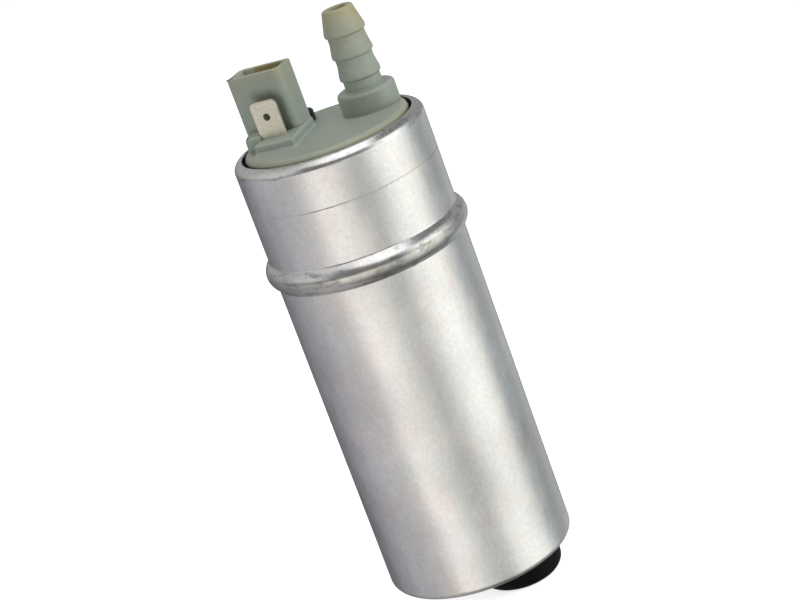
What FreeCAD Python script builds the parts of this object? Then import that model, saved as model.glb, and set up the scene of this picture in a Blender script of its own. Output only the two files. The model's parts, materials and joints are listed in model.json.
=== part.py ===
"""In-tank electric fuel pump: an aluminium can under a moulded end cover, with a motor and a gerotor pump.

Lengths are in millimetres and +Z is up, towards the hose outlet. The origin is on the can's axis, level with
the lower end of the inlet sleeve. The connector is on the -X side, the inlet on the +X side, and the outlet
between +X and +Y.
"""
import FreeCAD
import Part

import math
import os

V = FreeCAD.Vector
UP = V(0, 0, 1)

# Clearances

SEAT_GAP = 0.05        # round a piece that is pressed or glued into its seat
RUN_GAP = 0.03         # radial running clearance of the shaft and of the outer rotor
SIDE_GAP = 0.05        # above and below the pump rotors
LOOSE_GAP = 0.15       # round a piece that slides or rests freely

# Can

CAN_D = 43.0
CAN_WALL = 1.0
CAN_LENGTH = 104.6
TOP_BEND_R = 2.0       # outside radius of the rolled top lip
TOP_LIP_REACH = 2.2    # how far the top lip comes in from the outside of the can
BASE_BEND_R = 1.6
BASE_LIP_REACH = 3.0
BEAD_BELOW_RIM = 25.8  # bead centre under the top of the can
BEAD_WIDTH = 5.7
BEAD_PROUD = 1.6
BEAD_BLEND_R = 0.5     # small concave radius where the bead leaves the wall
LINE_BELOW_RIM = 10.4  # scribed line round the can
LINE_WIDTH = 0.35
LINE_DEPTH = 0.15

# End cover

COVER_GAP = 0.85       # open ring between the cover and the top lip
COVER_PROUD = 0.9      # cover's flat top above the top of the can
COVER_EDGE_R = 1.3
PLATE_THICK = 5.0
SKIRT_DEPTH = 20.0     # skirt below the plate, down to the flux ring
SKIRT_WALL = 1.5
SEAL_THICK = 2.0
LAND_RISE = 0.3        # shallow raised land round the relief valve
LAND_INSET = 5.8       # from the cover's edge to the land's straight side
VALVE_ANGLE = 133.5    # bearing of the relief valve, from +X
OUTLET_ANGLE = 46.0    # bearing of the hose outlet

# Hose outlet

BOSS_D = 13.0
BOSS_HEIGHT = 4.7
BOSS_EDGE_R = 0.8
BOSS_SET_IN = 0.19     # from the cover's edge to the boss
BARB_D = 9.2
BARB_NECK_D = 8.3
BARB_TIP_D = 6.8
BARB_COUNT = 3
BARB_PITCH = 4.95
BARB_FIRST = 2.3       # from the boss to the first barb's underside
BARB_STEP = 0.4        # height of the undercut cone below each barb
BARB_LAND = 0.7        # cylindrical land of each barb
BARB_TAPER = 2.5
BARB_NOSE = 4.8        # long cone above the last barb
BARB_TIP_R = 0.5
OUTLET_BORE_D = 4.0

# Connector

SOCKET_WIDTH = 12.9
SOCKET_DEPTH = 7.3
SOCKET_HEIGHT = 15.6   # above the cover's flat top
SOCKET_WALL = 1.1
SOCKET_CORNER_R = 1.3
SOCKET_SHARP_R = 0.5   # front corner at the cover's edge
SOCKET_FLOOR = 4.0     # solid foot of the socket above the cover
SOCKET_EDGE = 0.2      # from the cover's edge to the socket's outer corner
SOCKET_FRONT = 1.95    # socket's front face, ahead of the axis towards -Y
PLINTH_WIDTH = 10.0
PLINTH_HEIGHT = 2.0
PLINTH_FRONT = 7.5     # plinth's front face ahead of the socket's
PLINTH_OVERHANG = 1.5  # plinth beyond the socket's inner side
PLINTH_CORNER_R = 0.5
EAR_RISE = 3.2         # block between the plinth and the cover's edge
EAR_INSET = 1.3
EAR_FRONT = 4.1        # ahead of the socket's front
EAR_EDGE_R = 0.9

# Terminals

BLADE_WIDTH = 6.3
BLADE_THICK = 0.8
BLADE_HEIGHT = 8.2     # above the plinth
BLADE_HOLE_D = 1.6
BLADE_HOLE_DROP = 3.6
BLADE_CORNER_R = 1.2
BLADE_AHEAD = 3.0      # in front of the socket
BLADE_INSET = 0.45     # from the plinth's outer side
PIN_WIDTH = 4.8
PIN_THICK = 0.8
PIN_HEIGHT = 9.2       # above the cover's flat top
TERMINAL_TAIL = 4.4    # tail below the plate

# Outlet check valve

CHECK_CHAMBER_D = 7.2
CHECK_CHAMBER_TOP = 1.6   # chamber's roof above the cover's flat top
CHECK_TUBE_WALL = 1.0
CHECK_TUBE_DROP = 6.9     # tube below the plate
CHECK_SEAT_LENGTH = 3.5
CHECK_SEAT_BORE_D = 4.0
CHECK_POPPET_D = 5.8
CHECK_POPPET_THICK = 1.2
CHECK_STEM_D = 2.6
CHECK_STEM_LENGTH = 4.0
CHECK_SEAL_THICK = 0.8
CHECK_SPRING_D = 4.9
CHECK_SPRING_WIRE = 0.35
CHECK_SPRING_TURNS = 6

# Relief valve

RELIEF_BORE_D = 3.7
RELIEF_TUBE_WALL = 1.2
RELIEF_TUBE_DROP = 5.9
RELIEF_INSET = 6.86       # from the cover's edge to the valve's axis
RELIEF_SEAT_LENGTH = 2.5
RELIEF_SEAT_BORE_D = 1.8
RELIEF_BALL_D = 3.0
RELIEF_SPRING_D = 2.5
RELIEF_SPRING_WIRE = 0.3
RELIEF_SPRING_TURNS = 4
CAP_D = 4.4
CAP_HEIGHT = 2.45
CAP_EDGE_R = 0.7
CAP_PLUG_DEPTH = 2.6
CAP_HOLE_D = 1.4

# Brushes and their springs

BRUSH_WIDTH = 5.8
BRUSH_DEPTH = 4.8
BRUSH_LENGTH = 9.0
BRUSH_RADIUS = 9.2        # from the axis to the brush's middle
BRUSH_WALL = 1.0
BRUSH_GAP = 0.1
BRUSH_SPRING_D = 4.2
BRUSH_SPRING_WIRE = 0.4
BRUSH_SPRING_TURNS = 5
GUIDE_ABOVE_COMM = 1.5
LEAD_D = 0.8
LEAD_SLOT = 1.6
LEAD_BELOW_BRUSH_TOP = 2.0

# Chokes

CHOKE_CORE_D = 2.5
CHOKE_WIRE = 0.6
CHOKE_WIRE_GAP = 0.05
CHOKE_PITCH = 1.05
CHOKE_TURNS = 7
CHOKE_POCKET = 1.5        # how deep the core sits in the plate
CHOKE_TAIL = 2.0
CHOKE_A_AHEAD = 5.8       # centre in front of the blade terminal
CHOKE_B_AHEAD = 3.25      # centre in front of the socket terminal

# Motor

SHAFT_D = 5.0
SHAFT_FLATS = 4.2
SHAFT_STUB_D = 3.0
SHAFT_STUB_LENGTH = 3.0
FLUX_WALL = 2.4
MAGNET_THICK = 4.2
MAGNET_LENGTH = 42.0
MAGNET_SPAN = 124.0       # degrees
AIR_GAP = 0.7
CLIP_THICK = 0.5
CLIP_LENGTH = 38.0
CLIP_CLEAR = 0.4          # from a clip's leg to the magnet beside it, along the arc
CORE_LENGTH = 32.0
SLOT_COUNT = 8
SLOT_OPENING = 1.6
SLOT_FLOOR_R = 6.4
TOOTH_WIDTH = 3.2
TOOTH_TIP = 1.3
WINDING_END = 5.4         # winding beyond each end of the core
WINDING_GAP = 0.2
INSULATOR_THICK = 0.8
INSULATOR_HUB_R = 4.2
COMM_INSET = 0.9          # commutator inside the core's outside
COMM_BORE_R = 5.6
COMM_SEGMENT_THICK = 2.5
COMM_BASE_THICK = 4.0
COMM_SLIT = 0.6
COMM_DROP = 16.0          # commutator's face below the plate
COMM_CLEAR = 1.0          # from the windings to the commutator's base
RISER_D = 0.8

# Bearings

BEARING_D = 8.0
UPPER_BEARING_LENGTH = 7.0
LOWER_BEARING_LENGTH = 6.5
HUB_WALL = 1.3
HUB_ABOVE_COMM = 3.5
WASHER_D = 8.4
WASHER_THICK = 0.8
SHAFT_END_GAP = 0.6

# Gerotor pump

INLET_CASING_THICK = 9.0
ROTOR_THICK = 8.0
OUTLET_CASING_THICK = 10.0
LOBES = 6                 # on the inner rotor; the outer rotor has one more
ECCENTRICITY = 1.35
TOOTH_CIRCLE_R = 12.2     # circle that the outer rotor's tooth centres lie on
TOOTH_R = 3.6
ROTOR_CLEAR = 0.08        # between the two rotors
ROOT_CLEAR = 0.15
OUTER_ROTOR_D = 29.0
PORT_INNER_R = 7.4
PORT_OUTER_R = 11.1
PORT_SPAN = 140.0         # degrees
SUCTION_DEPTH = 3.5
COUPLING_D = 10.4
COUPLING_THICK = 2.4
DOG_WIDTH = 2.0
DOG_DEPTH = 3.0
DOG_INNER_R = 3.2
DOG_GAP = 0.1
PIN_D = 2.0
PIN_CIRCLE_R = 17.6
PIN_EMBED = 3.0

# Inlet

INLET_REACH = 7.0         # sleeve below the can
INLET_BORE_D = 9.0
INLET_NECK_WALL = 1.8
NECK_SHORT = 0.6          # neck ends above the sleeve's lower end
SLEEVE_D = 19.4
SLEEVE_EDGE_R = 3.6
SLEEVE_EDGE = 0.5         # from the lower lip's opening to the sleeve
CASING_STEP = 0.4         # casing's foot below the lip's upper face
O_RING_D = 1.8
O_RING_RISE = 4.0         # ring's centre above the casing's underside

# Levels and radii worked out from the sizes above

can_r = CAN_D / 2
can_inner_r = can_r - CAN_WALL
can_bottom = INLET_REACH
rim = can_bottom + CAN_LENGTH
top_lip_r = can_r - TOP_LIP_REACH
base_lip_r = can_r - BASE_LIP_REACH
filler_r = can_inner_r - SEAT_GAP

cover_r = top_lip_r - COVER_GAP
cover_top = rim + COVER_PROUD
plate_under = cover_top - PLATE_THICK
skirt_bottom = plate_under - SKIRT_DEPTH
flange_top = rim - CAN_WALL - SEAL_THICK
skirt_inner_r = filler_r - SKIRT_WALL

outlet_r = cover_r - BOSS_D / 2 - BOSS_SET_IN
outlet_x = outlet_r * math.cos(math.radians(OUTLET_ANGLE))
outlet_y = outlet_r * math.sin(math.radians(OUTLET_ANGLE))
relief_r = cover_r - RELIEF_INSET
relief_x = relief_r * math.cos(math.radians(VALVE_ANGLE))
relief_y = relief_r * math.sin(math.radians(VALVE_ANGLE))
boss_top = cover_top + BOSS_HEIGHT

socket_front = -SOCKET_FRONT
socket_back = socket_front + SOCKET_DEPTH
socket_outer = -math.sqrt((cover_r - SOCKET_EDGE) ** 2 - max(socket_front ** 2, socket_back ** 2))
socket_inner = socket_outer + SOCKET_WIDTH
plinth_top = cover_top + PLINTH_HEIGHT
plinth_inner = socket_inner + PLINTH_OVERHANG
plinth_outer = plinth_inner - PLINTH_WIDTH
blade_x = plinth_outer + BLADE_INSET + BLADE_WIDTH / 2
blade_y = socket_front - BLADE_AHEAD
pin_x = (socket_outer + socket_inner) / 2
pin_y = (socket_front + socket_back) / 2
terminal_bottom = plate_under - TERMINAL_TAIL

outlet_casing_bottom = can_bottom + CAN_WALL + INLET_CASING_THICK + ROTOR_THICK
outlet_casing_top = outlet_casing_bottom + OUTLET_CASING_THICK
inlet_casing_bottom = can_bottom + CAN_WALL
inlet_casing_top = inlet_casing_bottom + INLET_CASING_THICK
rotor_bottom = inlet_casing_top + SIDE_GAP
rotor_top = outlet_casing_bottom - SIDE_GAP
inlet_x = base_lip_r - SLEEVE_EDGE - SLEEVE_D / 2
neck_r = INLET_BORE_D / 2 + INLET_NECK_WALL

flux_outer_r = filler_r
flux_inner_r = flux_outer_r - FLUX_WALL
magnet_outer_r = flux_inner_r - SEAT_GAP
magnet_inner_r = magnet_outer_r - MAGNET_THICK
core_r = magnet_inner_r - AIR_GAP
comm_r = core_r - COMM_INSET
comm_face = plate_under - COMM_DROP
comm_base_top = comm_face - COMM_SEGMENT_THICK
comm_base_bottom = comm_base_top - COMM_BASE_THICK
core_top = comm_base_bottom - COMM_CLEAR - WINDING_END
core_bottom = core_top - CORE_LENGTH
slots_low = core_bottom - INSULATOR_THICK - 1
slots_high = core_top + INSULATOR_THICK + 1
hub_bottom = comm_face + HUB_ABOVE_COMM
upper_bearing_top = hub_bottom + UPPER_BEARING_LENGTH
shaft_r = SHAFT_D / 2
shaft_top = upper_bearing_top + SHAFT_END_GAP
lower_bearing_bottom = outlet_casing_top - LOWER_BEARING_LENGTH
shaft_stub_top = inlet_casing_top + SIDE_GAP
brush_top = comm_face + BRUSH_LENGTH
choke_radius = CHOKE_CORE_D / 2 + CHOKE_WIRE_GAP + CHOKE_WIRE / 2
lead_level = brush_top - LEAD_BELOW_BRUSH_TOP
choke_bottom = terminal_bottom + CHOKE_WIRE - CHOKE_PITCH * (CHOKE_TURNS + 0.75)


# Helpers for plain solids

def cylinder(radius, z0, z1, x=0.0, y=0.0):
    """Upright cylinder from z0 to z1."""
    return Part.makeCylinder(radius, z1 - z0, V(x, y, z0), UP)


def ring(outer, inner, z0, z1, x=0.0, y=0.0):
    """Upright tube from z0 to z1."""
    return cylinder(outer, z0, z1, x, y).cut(cylinder(inner, z0 - 1, z1 + 1, x, y))


def block(x0, x1, y0, y1, z0, z1):
    """Box between two corners."""
    return Part.makeBox(x1 - x0, y1 - y0, z1 - z0, V(x0, y0, z0))


def outline_face(start, steps):
    """Closed flat face. A step is an end point, or a pair: a point half way round an arc, and its end point."""
    edges = []
    here = start
    for step in steps + [start]:
        if isinstance(step, tuple):
            middle, end = step
            edges.append(Part.Arc(here, middle, end).toShape())
        else:
            end = step
            if here.distanceToPoint(end) < 1e-7:
                continue
            edges.append(Part.LineSegment(here, end).toShape())
        here = end
    return Part.Face(Part.Wire(edges))


def arc_point(centre, radius, degrees):
    """Point on an arc in the XZ plane, which holds the section of a turned piece."""
    angle = math.radians(degrees)
    return V(centre.x + radius * math.cos(angle), 0, centre.z + radius * math.sin(angle))


def turned(start, steps, x=0.0, y=0.0):
    """Turned piece: a section in the XZ plane spun about the upright axis through x, y."""
    solid = outline_face(start, steps).revolve(V(0, 0, 0), UP, 360)
    solid = Part.Solid(solid) if solid.ShapeType == "Shell" else solid
    solid.translate(V(x, y, 0))
    return solid


def edges_at(solid, z):
    """Edges of a solid that lie flat at one level."""
    found = []
    for edge in solid.Edges:
        box = edge.BoundBox
        if abs(box.ZMin - z) < 1e-6 and abs(box.ZMax - z) < 1e-6:
            found.append(edge)
    return found


def rounded_block(x0, x1, y0, y1, z0, z1, corner, first_corner=0.0, top_edge=0.0):
    """Upright block with rounded corners. The corner at x0, y0 and the top edge may have radii of their own."""
    first = first_corner or corner
    bulge = 1 - math.sqrt(0.5)
    side = corner * bulge
    start = V(x0 + first, y0, z0)
    steps = [
        V(x1 - corner, y0, z0),
        (V(x1 - side, y0 + side, z0), V(x1, y0 + corner, z0)),
        V(x1, y1 - corner, z0),
        (V(x1 - side, y1 - side, z0), V(x1 - corner, y1, z0)),
        V(x0 + corner, y1, z0),
        (V(x0 + side, y1 - side, z0), V(x0, y1 - corner, z0)),
        V(x0, y0 + first, z0),
        (V(x0 + first * bulge, y0 + first * bulge, z0), start),
    ]
    solid = outline_face(start, steps).extrude(V(0, 0, z1 - z0))
    if top_edge:
        solid = solid.makeFillet(top_edge, edges_at(solid, z1))
    return solid


def sector(inner, outer, centre_deg, span_deg, z0, z1):
    """Part of a ring between two bearings."""
    first = math.radians(centre_deg - span_deg / 2)
    middle = math.radians(centre_deg)
    last = math.radians(centre_deg + span_deg / 2)

    def at(radius, angle):
        return V(radius * math.cos(angle), radius * math.sin(angle), z0)

    outside = (at(outer, middle), at(outer, last))
    inside = (at(inner, middle), at(inner, first))
    face = outline_face(at(inner, first), [at(outer, first), outside, at(inner, last), inside])
    return face.extrude(V(0, 0, z1 - z0))


def spun(solid, degrees, x=0.0, y=0.0):
    """Copy of a solid turned about the upright axis through x, y."""
    copy = solid.copy()
    copy.rotate(V(x, y, 0), UP, degrees)
    return copy


# Helpers for wires and springs

def arc_from(start, tangent, end):
    """Arc that leaves start along tangent and reaches end."""
    chord = end - start
    along = V(tangent).normalize()
    across = along - V(chord).normalize() * along.dot(V(chord).normalize())
    if across.Length < 1e-6:
        return Part.LineSegment(start, end).toShape()
    angle = along.getAngle(chord)
    middle = (start + end) * 0.5 + across.normalize() * (chord.Length / 2 * math.tan(angle / 2))
    return Part.Arc(start, middle, end).toShape()


def biarc(start, leaving, end, arriving):
    """Two tangent arcs from one point and direction to another."""
    a = V(leaving).normalize()
    b = V(arriving).normalize()
    span = end - start
    both = a + b
    slack = 2 * (1 - a.dot(b))
    reach = span.dot(both)
    length = (-reach + math.sqrt(reach * reach + slack * span.dot(span))) / slack
    middle = (start + a * length + end - b * length) * 0.5
    first = arc_from(start, a, middle)
    second = arc_from(end, b * -1, middle)
    return [first, second.reversed()]


def swept(edges, wire_d):
    """Round wire along a smooth path."""
    path = Part.Wire(edges)
    start = path.OrderedEdges[0]
    first = start.ParameterRange[0] if start.Orientation == "Forward" else start.ParameterRange[1]
    along = start.tangentAt(first)
    section = Part.Wire(Part.makeCircle(wire_d / 2, start.valueAt(first), along))
    return path.makePipeShell([section], True, False)


def helix_points(radius, pitch, turns, base, start_deg):
    """Points and directions, every quarter turn up a helix."""
    found = []
    for step in range(int(round(turns * 4)) + 1):
        angle = math.radians(start_deg + step * 90)
        point = base + V(radius * math.cos(angle), radius * math.sin(angle), pitch * step / 4)
        rise = pitch / (2 * math.pi)
        found.append((point, V(-radius * math.sin(angle), radius * math.cos(angle), rise)))
    return found


def helix_edges(radius, pitch, turns, base, start_deg):
    """Helix as tangent arcs of under a quarter turn."""
    points = helix_points(radius, pitch, turns, base, start_deg)
    edges = []
    for (here, leaving), (there, arriving) in zip(points, points[1:]):
        edges += biarc(here, leaving, there, arriving)
    return edges


def coil_spring(outer_d, wire, turns, z0, z1, x, y):
    """Open coil spring that fills the height from z0 to z1."""
    base = V(x, y, z0 + wire / 2 + SEAT_GAP)
    pitch = (z1 - z0 - wire - 2 * SEAT_GAP) / turns
    print("spring at", round(x, 1), round(y, 1), "least gap between turns", round(pitch - wire, 2))
    return swept(helix_edges((outer_d - wire) / 2, pitch, turns, base, 0), wire)


def bent_wire(points, bend_r, wire_d):
    """Round wire along straight runs joined by tangent arcs."""
    edges = []
    here = points[0]
    for before, corner, after in zip(points, points[1:], points[2:]):
        to_corner = (corner - before).normalize()
        onward = (after - corner).normalize()
        turn = to_corner.getAngle(onward)
        cut = bend_r * math.tan(turn / 2)
        enter = corner - to_corner * cut
        leave = corner + onward * cut
        edges.append(Part.LineSegment(here, enter).toShape())
        edges.append(arc_from(enter, to_corner, leave))
        here = leave
    edges.append(Part.LineSegment(here, points[-1]).toShape())
    return swept(edges, wire_d)


# Can

def bead_steps(wall_r, inset, upward):
    """Steps of the rolled bead's section. The inset carries the same curve to the inside of the wall."""
    bead_z = rim - BEAD_BELOW_RIM
    rise = BEAD_PROUD
    bead_r = (BEAD_WIDTH ** 2 / 4 + rise ** 2) / (2 * rise)
    centre = V(can_r + rise - bead_r, 0, bead_z)
    blend_x = can_r + BEAD_BLEND_R
    reach = math.sqrt((bead_r + BEAD_BLEND_R) ** 2 - (blend_x - centre.x) ** 2)
    lean = math.degrees(math.atan2(reach, blend_x - centre.x))
    outer_r = bead_r - inset
    blend_r = BEAD_BLEND_R + inset
    steps = []
    for side in ((-1, 1) if upward else (1, -1)):
        blend = V(blend_x, 0, bead_z + side * reach)
        wall_point = V(wall_r, 0, blend.z)
        bead_point = arc_point(centre, outer_r, side * lean)
        middle = arc_point(blend, blend_r, 180 + side * lean / 2)
        if side == (-1 if upward else 1):
            far_point = arc_point(centre, outer_r, -side * lean)
            steps += [wall_point, (middle, bead_point), (V(centre.x + outer_r, 0, bead_z), far_point)]
        else:
            steps += [(middle, wall_point)]
    return steps


def can():
    """Drawn tube with a rolled bead, a scribed line and both ends rolled in."""
    line_z = rim - LINE_BELOW_RIM
    base = V(can_r - BASE_BEND_R, 0, can_bottom + BASE_BEND_R)
    top = V(can_r - TOP_BEND_R, 0, rim - TOP_BEND_R)
    start = V(base_lip_r, 0, can_bottom)
    steps = [V(base.x, 0, can_bottom), (arc_point(base, BASE_BEND_R, -45), V(can_r, 0, base.z))]
    steps += bead_steps(can_r, 0.0, True)
    steps += [
        V(can_r, 0, line_z - LINE_WIDTH / 2),
        V(can_r - LINE_DEPTH, 0, line_z - LINE_WIDTH / 4),
        V(can_r - LINE_DEPTH, 0, line_z + LINE_WIDTH / 4),
        V(can_r, 0, line_z + LINE_WIDTH / 2),
        V(can_r, 0, top.z),
        (arc_point(top, TOP_BEND_R, 45), V(top.x, 0, rim)),
        V(top_lip_r, 0, rim),
        V(top_lip_r, 0, rim - CAN_WALL),
        V(top.x, 0, rim - CAN_WALL),
        (arc_point(top, TOP_BEND_R - CAN_WALL, 45), V(can_inner_r, 0, top.z)),
    ]
    steps += bead_steps(can_inner_r, CAN_WALL, False)
    steps += [
        V(can_inner_r, 0, base.z),
        (arc_point(base, BASE_BEND_R - CAN_WALL, -45), V(base.x, 0, can_bottom + CAN_WALL)),
        V(base_lip_r, 0, can_bottom + CAN_WALL),
    ]
    return turned(start, steps)


# End cover

def barb():
    """Hose outlet on its round boss."""
    boss_r = BOSS_D / 2
    neck_radius = BARB_NECK_D / 2
    barb_r = BARB_D / 2
    tip_r = BARB_TIP_D / 2
    edge = V(boss_r - BOSS_EDGE_R, 0, boss_top - BOSS_EDGE_R)
    start = V(0, 0, plate_under + SEAT_GAP)
    steps = [
        V(boss_r, 0, start.z),
        V(boss_r, 0, edge.z),
        (arc_point(edge, BOSS_EDGE_R, 45), V(edge.x, 0, boss_top)),
        V(neck_radius, 0, boss_top),
    ]
    for number in range(BARB_COUNT):
        foot = boss_top + BARB_FIRST + number * BARB_PITCH
        land = foot + BARB_STEP
        steps += [V(neck_radius, 0, foot), V(barb_r, 0, land), V(barb_r, 0, land + BARB_LAND)]
        if number < BARB_COUNT - 1:
            steps += [V(neck_radius, 0, land + BARB_LAND + BARB_TAPER)]
    tip_z = steps[-1].z + BARB_NOSE
    slope = math.degrees(math.atan2(barb_r - tip_r, BARB_NOSE))
    tip = V(tip_r - BARB_TIP_R, 0, tip_z - BARB_TIP_R)
    steps += [
        arc_point(tip, BARB_TIP_R, slope),
        (arc_point(tip, BARB_TIP_R, 45 + slope / 2), V(tip.x, 0, tip_z)),
        V(0, 0, tip_z),
    ]
    return turned(start, steps, outlet_x, outlet_y), tip_z


def cover_disc():
    """Round body of the end cover: plate with a rounded edge, flange and skirt."""
    edge = V(cover_r - COVER_EDGE_R, 0, cover_top - COVER_EDGE_R)
    start = V(0, 0, plate_under)
    steps = [
        V(skirt_inner_r, 0, plate_under),
        V(skirt_inner_r, 0, skirt_bottom),
        V(filler_r, 0, skirt_bottom),
        V(filler_r, 0, flange_top),
        V(cover_r, 0, flange_top),
        V(cover_r, 0, edge.z),
        (arc_point(edge, COVER_EDGE_R, 45), V(edge.x, 0, cover_top)),
        V(0, 0, cover_top),
    ]
    return turned(start, steps)


def raised_land():
    """Shallow step on the cover, beyond a straight line across the relief valve's bearing."""
    radius = cover_r - COVER_EDGE_R
    disc = cylinder(radius, cover_top - 1, cover_top + LAND_RISE)
    near = cover_r - LAND_INSET
    keep = block(near, near + 2 * cover_r, -2 * cover_r, 2 * cover_r, cover_top - 2, cover_top + 2)
    return disc.common(spun(keep, VALVE_ANGLE))


def connector():
    """Socket, plinth and side block, without the socket's hollow."""
    socket = rounded_block(
        socket_outer, socket_inner, socket_front, socket_back,
        cover_top - 1, cover_top + SOCKET_HEIGHT, SOCKET_CORNER_R, SOCKET_SHARP_R,
    )
    plinth = rounded_block(
        plinth_outer, plinth_inner, socket_front - PLINTH_FRONT, socket_back,
        cover_top - 1, plinth_top, PLINTH_CORNER_R, top_edge=PLINTH_CORNER_R * 0.9,
    )
    ear = block(
        -2 * cover_r, plinth_outer + PLINTH_CORNER_R, socket_front - EAR_FRONT, socket_front + SOCKET_WALL,
        cover_top - 1, cover_top + EAR_RISE,
    )
    ear = ear.common(cylinder(cover_r - EAR_INSET, cover_top - 2, cover_top + SOCKET_HEIGHT))
    ear = ear.makeFillet(EAR_EDGE_R, edges_at(ear, cover_top + EAR_RISE))
    return socket.fuse([plinth, ear])


def socket_hollow():
    """Open inside of the connector socket."""
    return rounded_block(
        socket_outer + SOCKET_WALL, socket_inner - SOCKET_WALL,
        socket_front + SOCKET_WALL, socket_back - SOCKET_WALL,
        cover_top + SOCKET_FLOOR, cover_top + SOCKET_HEIGHT + 1, SOCKET_CORNER_R - SOCKET_WALL / 2,
    )


def brush_guides():
    """Two upright box guides under the plate, each with a slot for its lead."""
    guides = []
    for side in (-1, 1):
        middle = side * BRUSH_RADIUS
        half_w = BRUSH_WIDTH / 2 + BRUSH_GAP
        half_d = BRUSH_DEPTH / 2 + BRUSH_GAP
        bottom = comm_face + GUIDE_ABOVE_COMM
        wall_w = half_w + BRUSH_WALL
        wall_d = half_d + BRUSH_WALL
        outer = block(-wall_w, wall_w, middle - wall_d, middle + wall_d, bottom, plate_under + 1)
        inner = block(-half_w, half_w, middle - half_d, middle + half_d, bottom - 1, plate_under)
        slot_half = LEAD_SLOT / 2
        slot = block(-wall_w - 1, 0, middle - slot_half, middle + slot_half, lead_level - LEAD_D, plate_under)
        guides.append(outer.cut(inner).cut(slot))
    return guides


def end_cover():
    """Moulded cover with the hose outlet, socket, brush guides, bearing hub and both valve tubes."""
    outlet, tip_z = barb()
    chamber_r = CHECK_CHAMBER_D / 2
    tube_bottom = plate_under - CHECK_TUBE_DROP
    chamber_top = cover_top + CHECK_CHAMBER_TOP
    relief_tube_r = RELIEF_BORE_D / 2 + RELIEF_TUBE_WALL
    hub_r = BEARING_D / 2 + HUB_WALL
    body = cover_disc().fuse([outlet, raised_land(), connector()])
    inside = [
        cylinder(chamber_r + CHECK_TUBE_WALL, tube_bottom, plate_under + 1, outlet_x, outlet_y),
        cylinder(relief_tube_r, plate_under - RELIEF_TUBE_DROP, plate_under + 1, relief_x, relief_y),
        cylinder(hub_r, hub_bottom, plate_under + 1),
    ]
    body = body.fuse(inside + brush_guides())
    cuts = [
        socket_hollow(),
        cylinder(chamber_r, tube_bottom - 1, chamber_top, outlet_x, outlet_y),
        cylinder(OUTLET_BORE_D / 2, chamber_top - 1, tip_z + 1, outlet_x, outlet_y),
        cylinder(RELIEF_BORE_D / 2, plate_under - RELIEF_TUBE_DROP - 1, cover_top + 2, relief_x, relief_y),
        cylinder(BEARING_D / 2 + SEAT_GAP, hub_bottom - 1, upper_bearing_top),
        cylinder(shaft_r + LOOSE_GAP, hub_bottom, shaft_top + SHAFT_END_GAP),
        terminal_slot(blade_x, blade_y, BLADE_WIDTH, BLADE_THICK),
        terminal_slot(pin_x, pin_y, PIN_WIDTH, PIN_THICK),
    ]
    for x, y in (choke_place("a"), choke_place("b")):
        cuts.append(cylinder(CHOKE_CORE_D / 2 + SEAT_GAP, plate_under - 1, plate_under + CHOKE_POCKET, x, y))
    body = body.cut(cuts)
    body = body.removeSplitter()
    return body


def terminal_slot(x, y, width, thick):
    """Slot that a terminal stands in."""
    half_w = width / 2 + SEAT_GAP
    half_t = thick / 2 + SEAT_GAP
    return block(x - half_w, x + half_w, y - half_t, y + half_t, plate_under - 1, cover_top + SOCKET_HEIGHT + 1)


def cover_seal():
    """Rubber ring between the cover's flange and the can's top lip, rounded to fit the bend."""
    bend = V(can_r - TOP_BEND_R, 0, rim - TOP_BEND_R)
    radius = filler_r - bend.x
    inner = cover_r + SEAT_GAP
    start = V(inner, 0, flange_top)
    steps = [
        V(filler_r, 0, flange_top),
        V(filler_r, 0, bend.z),
        (arc_point(bend, radius, 45), V(bend.x, 0, bend.z + radius)),
        V(inner, 0, bend.z + radius),
    ]
    return turned(start, steps)


# Terminals

def blade_terminal():
    """Flat blade with rounded corners and a detent hole, in front of the socket."""
    top = plinth_top + BLADE_HEIGHT
    left = blade_x - BLADE_WIDTH / 2
    right = blade_x + BLADE_WIDTH / 2
    y = blade_y - BLADE_THICK / 2
    radius = BLADE_CORNER_R
    side = radius * (1 - math.sqrt(0.5))
    face = outline_face(
        V(left, y, terminal_bottom),
        [
            V(right, y, terminal_bottom),
            V(right, y, top - radius),
            (V(right - side, y, top - side), V(right - radius, y, top)),
            V(left + radius, y, top),
            (V(left + side, y, top - side), V(left, y, top - radius)),
        ],
    )
    blade = face.extrude(V(0, BLADE_THICK, 0))
    hole = Part.makeCylinder(
        BLADE_HOLE_D / 2, 4 * BLADE_THICK, V(blade_x, y - BLADE_THICK, top - BLADE_HOLE_DROP), V(0, 1, 0)
    )
    return blade.cut(hole)


def socket_terminal():
    """Narrower blade that stands inside the socket."""
    top = cover_top + PIN_HEIGHT
    half = PIN_WIDTH / 2
    y0 = pin_y - PIN_THICK / 2
    return block(pin_x - half, pin_x + half, y0, y0 + PIN_THICK, terminal_bottom, top)


# Outlet check valve

def check_seat():
    """Seat bush pressed into the valve tube from below."""
    outer = CHECK_CHAMBER_D / 2 - SEAT_GAP
    bottom = plate_under - CHECK_TUBE_DROP
    return ring(outer, CHECK_SEAT_BORE_D / 2, bottom, check_seat_top, outlet_x, outlet_y)


check_seat_top = plate_under - CHECK_TUBE_DROP + CHECK_SEAT_LENGTH
check_disc_bottom = check_seat_top + CHECK_SEAL_THICK
check_disc_top = check_disc_bottom + CHECK_POPPET_THICK


def check_seal():
    """Rubber washer under the poppet, which closes on the seat."""
    return cylinder(CHECK_POPPET_D / 2, check_seat_top + SIDE_GAP, check_disc_bottom, outlet_x, outlet_y)


def check_poppet():
    """Disc with a stem that keeps the spring in line."""
    disc = cylinder(CHECK_POPPET_D / 2, check_disc_bottom, check_disc_top, outlet_x, outlet_y)
    stem = cylinder(CHECK_STEM_D / 2, check_disc_bottom, check_disc_top + CHECK_STEM_LENGTH, outlet_x, outlet_y)
    return disc.fuse(stem)


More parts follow.
